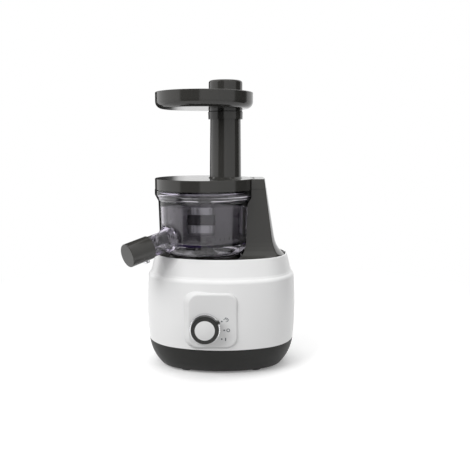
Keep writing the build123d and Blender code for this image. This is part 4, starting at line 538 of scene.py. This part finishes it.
def pale_floor():
    """A pale floor: near the object it takes shadow, and further out it runs into the white backdrop."""
    material = bpy.data.materials.new("pale_floor")
    material.use_nodes = True
    tree = material.node_tree
    shader = tree.nodes["Principled BSDF"]
    out = tree.nodes["Material Output"]
    place = tree.nodes.new("ShaderNodeTexCoord").outputs["Object"]
    reach = tree.nodes.new("ShaderNodeVectorMath")
    reach.operation = "LENGTH"
    wire(tree, place, reach.inputs[0])
    away = remap(tree, reach.outputs["Value"], 0.0, 1.0, FLOOR_NEAR, FLOOR_FAR)
    tint = blend_colour(tree, away, (FLOOR_TINT,) * 3, (0.0, 0.0, 0.0))
    grain = noise(tree, place, 40.0, 2.0)
    speckle = scale_colour(tree, tint, remap(tree, grain, 0.99, 1.01))
    seen = seen_rays(tree)
    bounce = remap(tree, seen, FLOOR_BOUNCE, 1.0, 0.0, 1.0)
    wire(tree, scale_colour(tree, speckle, bounce), shader.inputs["Base Color"])
    shader.inputs["Roughness"].default_value = 0.9
    shader.inputs["Specular IOR Level"].default_value = 0.0
    glow = tree.nodes.new("ShaderNodeEmission")
    level = remap(tree, reach.outputs["Value"], FLOOR_GLOW, 1.0, FLOOR_NEAR, FLOOR_FAR)
    wire(tree, maths(tree, "MULTIPLY", seen, level), glow.inputs["Strength"])
    both = tree.nodes.new("ShaderNodeAddShader")
    wire(tree, shader.outputs[0], both.inputs[0])
    wire(tree, glow.outputs[0], both.inputs[1])
    wire(tree, both.outputs[0], out.inputs["Surface"])
    return material


def studio_floor():
    """A wide square floor under the feet."""
    data = bpy.data.meshes.new("floor")
    corners = ((-1, -1), (1, -1), (1, 1), (-1, 1))
    data.from_pydata([(x * FLOOR_REACH, y * FLOOR_REACH, 0.0) for x, y in corners], [], [(0, 1, 2, 3)])
    data.materials.append(pale_floor())
    obj = bpy.data.objects.new("floor", data)
    SCENE.collection.objects.link(obj)


studio_floor()

# Turn about the object, measured from the camera's side (-Y) towards +X, and what gloss sees there.
STUDIO = (
    (-180.0, 1.0), (-172.0, 1.0), (-170.0, 0.03), (-136.0, 0.03), (-134.0, 1.35), (-55.0, 1.0),
    (-53.0, 0.04), (-11.0, 0.04), (-9.5, 0.85), (72.0, 0.85), (74.0, 0.04), (112.0, 0.04),
    (118.0, 1.0), (180.0, 1.0),
)
TENT_RADIUS = 0.80
TENT_HEIGHT = 2.4
TENT_SIDES = 96


def tent_look():
    """Light and dark panels by the turn about the object, for gloss and clear plastic."""
    material = bpy.data.materials.new("studio_panels")
    material.use_nodes = True
    tree = material.node_tree
    tree.nodes.clear()
    out = tree.nodes.new("ShaderNodeOutputMaterial")
    place = tree.nodes.new("ShaderNodeTexCoord").outputs["Object"]
    parts = tree.nodes.new("ShaderNodeSeparateXYZ")
    wire(tree, place, parts.inputs[0])
    turn = maths(tree, "ARCTAN2", parts.outputs["X"], maths(tree, "MULTIPLY", parts.outputs["Y"], -1.0))
    share = maths(tree, "ADD", maths(tree, "DIVIDE", turn, 2 * math.pi), 0.5)
    ramp = tree.nodes.new("ShaderNodeValToRGB")
    stops = ramp.color_ramp.elements
    while len(stops) > 1:
        stops.remove(stops[-1])
    for index, (degrees, level) in enumerate(STUDIO):
        spot = degrees / 360.0 + 0.5
        stop = stops[0] if index == 0 else stops.new(spot)
        stop.position = spot
        stop.color = (level, level, level, 1.0)
    wire(tree, share, ramp.inputs[0])
    glow = tree.nodes.new("ShaderNodeEmission")
    wire(tree, ramp.outputs["Color"], glow.inputs["Color"])
    wire(tree, glow.outputs[0], out.inputs["Surface"])
    return material


def studio_tent():
    """An open cylinder of panels round the object, seen in its gloss and through its clear plastic."""
    ring = [(TENT_RADIUS * math.sin(2 * math.pi * step / TENT_SIDES),
             TENT_RADIUS * math.cos(2 * math.pi * step / TENT_SIDES)) for step in range(TENT_SIDES)]
    points = [(x, y, level) for level in (0.0, TENT_HEIGHT) for x, y in ring]
    faces = []
    for step in range(TENT_SIDES):
        following = (step + 1) % TENT_SIDES
        faces.append((step, following, TENT_SIDES + following, TENT_SIDES + step))
    data = bpy.data.meshes.new("studio_tent")
    data.from_pydata(points, [], faces)
    data.materials.append(tent_look())
    tent = bpy.data.objects.new("studio_tent", data)
    SCENE.collection.objects.link(tent)
    tent.visible_camera = False
    tent.visible_diffuse = False
    tent.visible_shadow = False
    tent.visible_volume_scatter = False


studio_tent()

AMBIENT = 0.71
AMBIENT_INSIDE = 0.45    # through the clear plastic, whose tint holds some of it back


def studio_world():
    """White where it is seen, in gloss or through clear plastic, and a plain level elsewhere."""
    world = bpy.data.worlds.new("studio")
    SCENE.world = world
    world.use_nodes = True
    tree = world.node_tree
    tree.nodes.clear()
    out = tree.nodes.new("ShaderNodeOutputWorld")
    seen = seen_rays(tree)
    white = tree.nodes.new("ShaderNodeBackground")
    white.inputs["Color"].default_value = (1.0, 1.0, 1.0, 1.0)
    soft = tree.nodes.new("ShaderNodeBackground")
    soft.inputs["Color"].default_value = (1.0, 1.0, 1.0, 1.0)
    path = tree.nodes.new("ShaderNodeLightPath")
    inside = remap(tree, path.outputs["Is Transmission Ray"], AMBIENT, AMBIENT_INSIDE, 0.0, 1.0)
    wire(tree, inside, soft.inputs["Strength"])
    both = tree.nodes.new("ShaderNodeMixShader")
    wire(tree, seen, both.inputs[0])
    wire(tree, soft.outputs[0], both.inputs[1])
    wire(tree, white.outputs[0], both.inputs[2])
    wire(tree, both.outputs[0], out.inputs["Surface"])


studio_world()


LAMP_AIM = Vector((0.0, 0.0, 0.2))


def softbox(name, place, size, power, through=False):
    """A square lamp that lights without showing in gloss; through says it lights inside the bowl."""
    light = bpy.data.lights.new(name, "AREA")
    light.shape = "SQUARE"
    light.size = size
    light.energy = power
    obj = bpy.data.objects.new(name, light)
    obj.location = place
    obj.rotation_euler = (LAMP_AIM - Vector(place)).to_track_quat("-Z", "Y").to_euler()
    obj.visible_glossy = False
    obj.visible_transmission = through
    SCENE.collection.objects.link(obj)


softbox("key", (-1.5, -1.3, 1.7), 1.4, 36.5, through=True)
softbox("fill", (1.6, -1.5, 1.1), 1.4, 6.5)
softbox("top", (0.0, 0.2, 2.2), 2.0, 18.0)

# ---------------------------------------------------------------- camera

CAMERA_PLACE = (0.0, -0.89918, 0.33265)
CAMERA_DIP = 8.723       # degrees below level
CAMERA_LENS = 46.48
CAMERA_SHIFT = 0.0294    # the object stands a little left of the photo's middle

lens = bpy.data.cameras.new("camera")
lens.sensor_width = 36.0
lens.lens = CAMERA_LENS
lens.shift_x = CAMERA_SHIFT
lens.clip_start = 0.01
lens.clip_end = 50.0
camera = bpy.data.objects.new("camera", lens)
camera.location = CAMERA_PLACE
camera.rotation_euler = (math.radians(90.0 - CAMERA_DIP), 0.0, 0.0)
SCENE.collection.objects.link(camera)
SCENE.camera = camera
SCENE.view_settings.view_transform = "Standard"
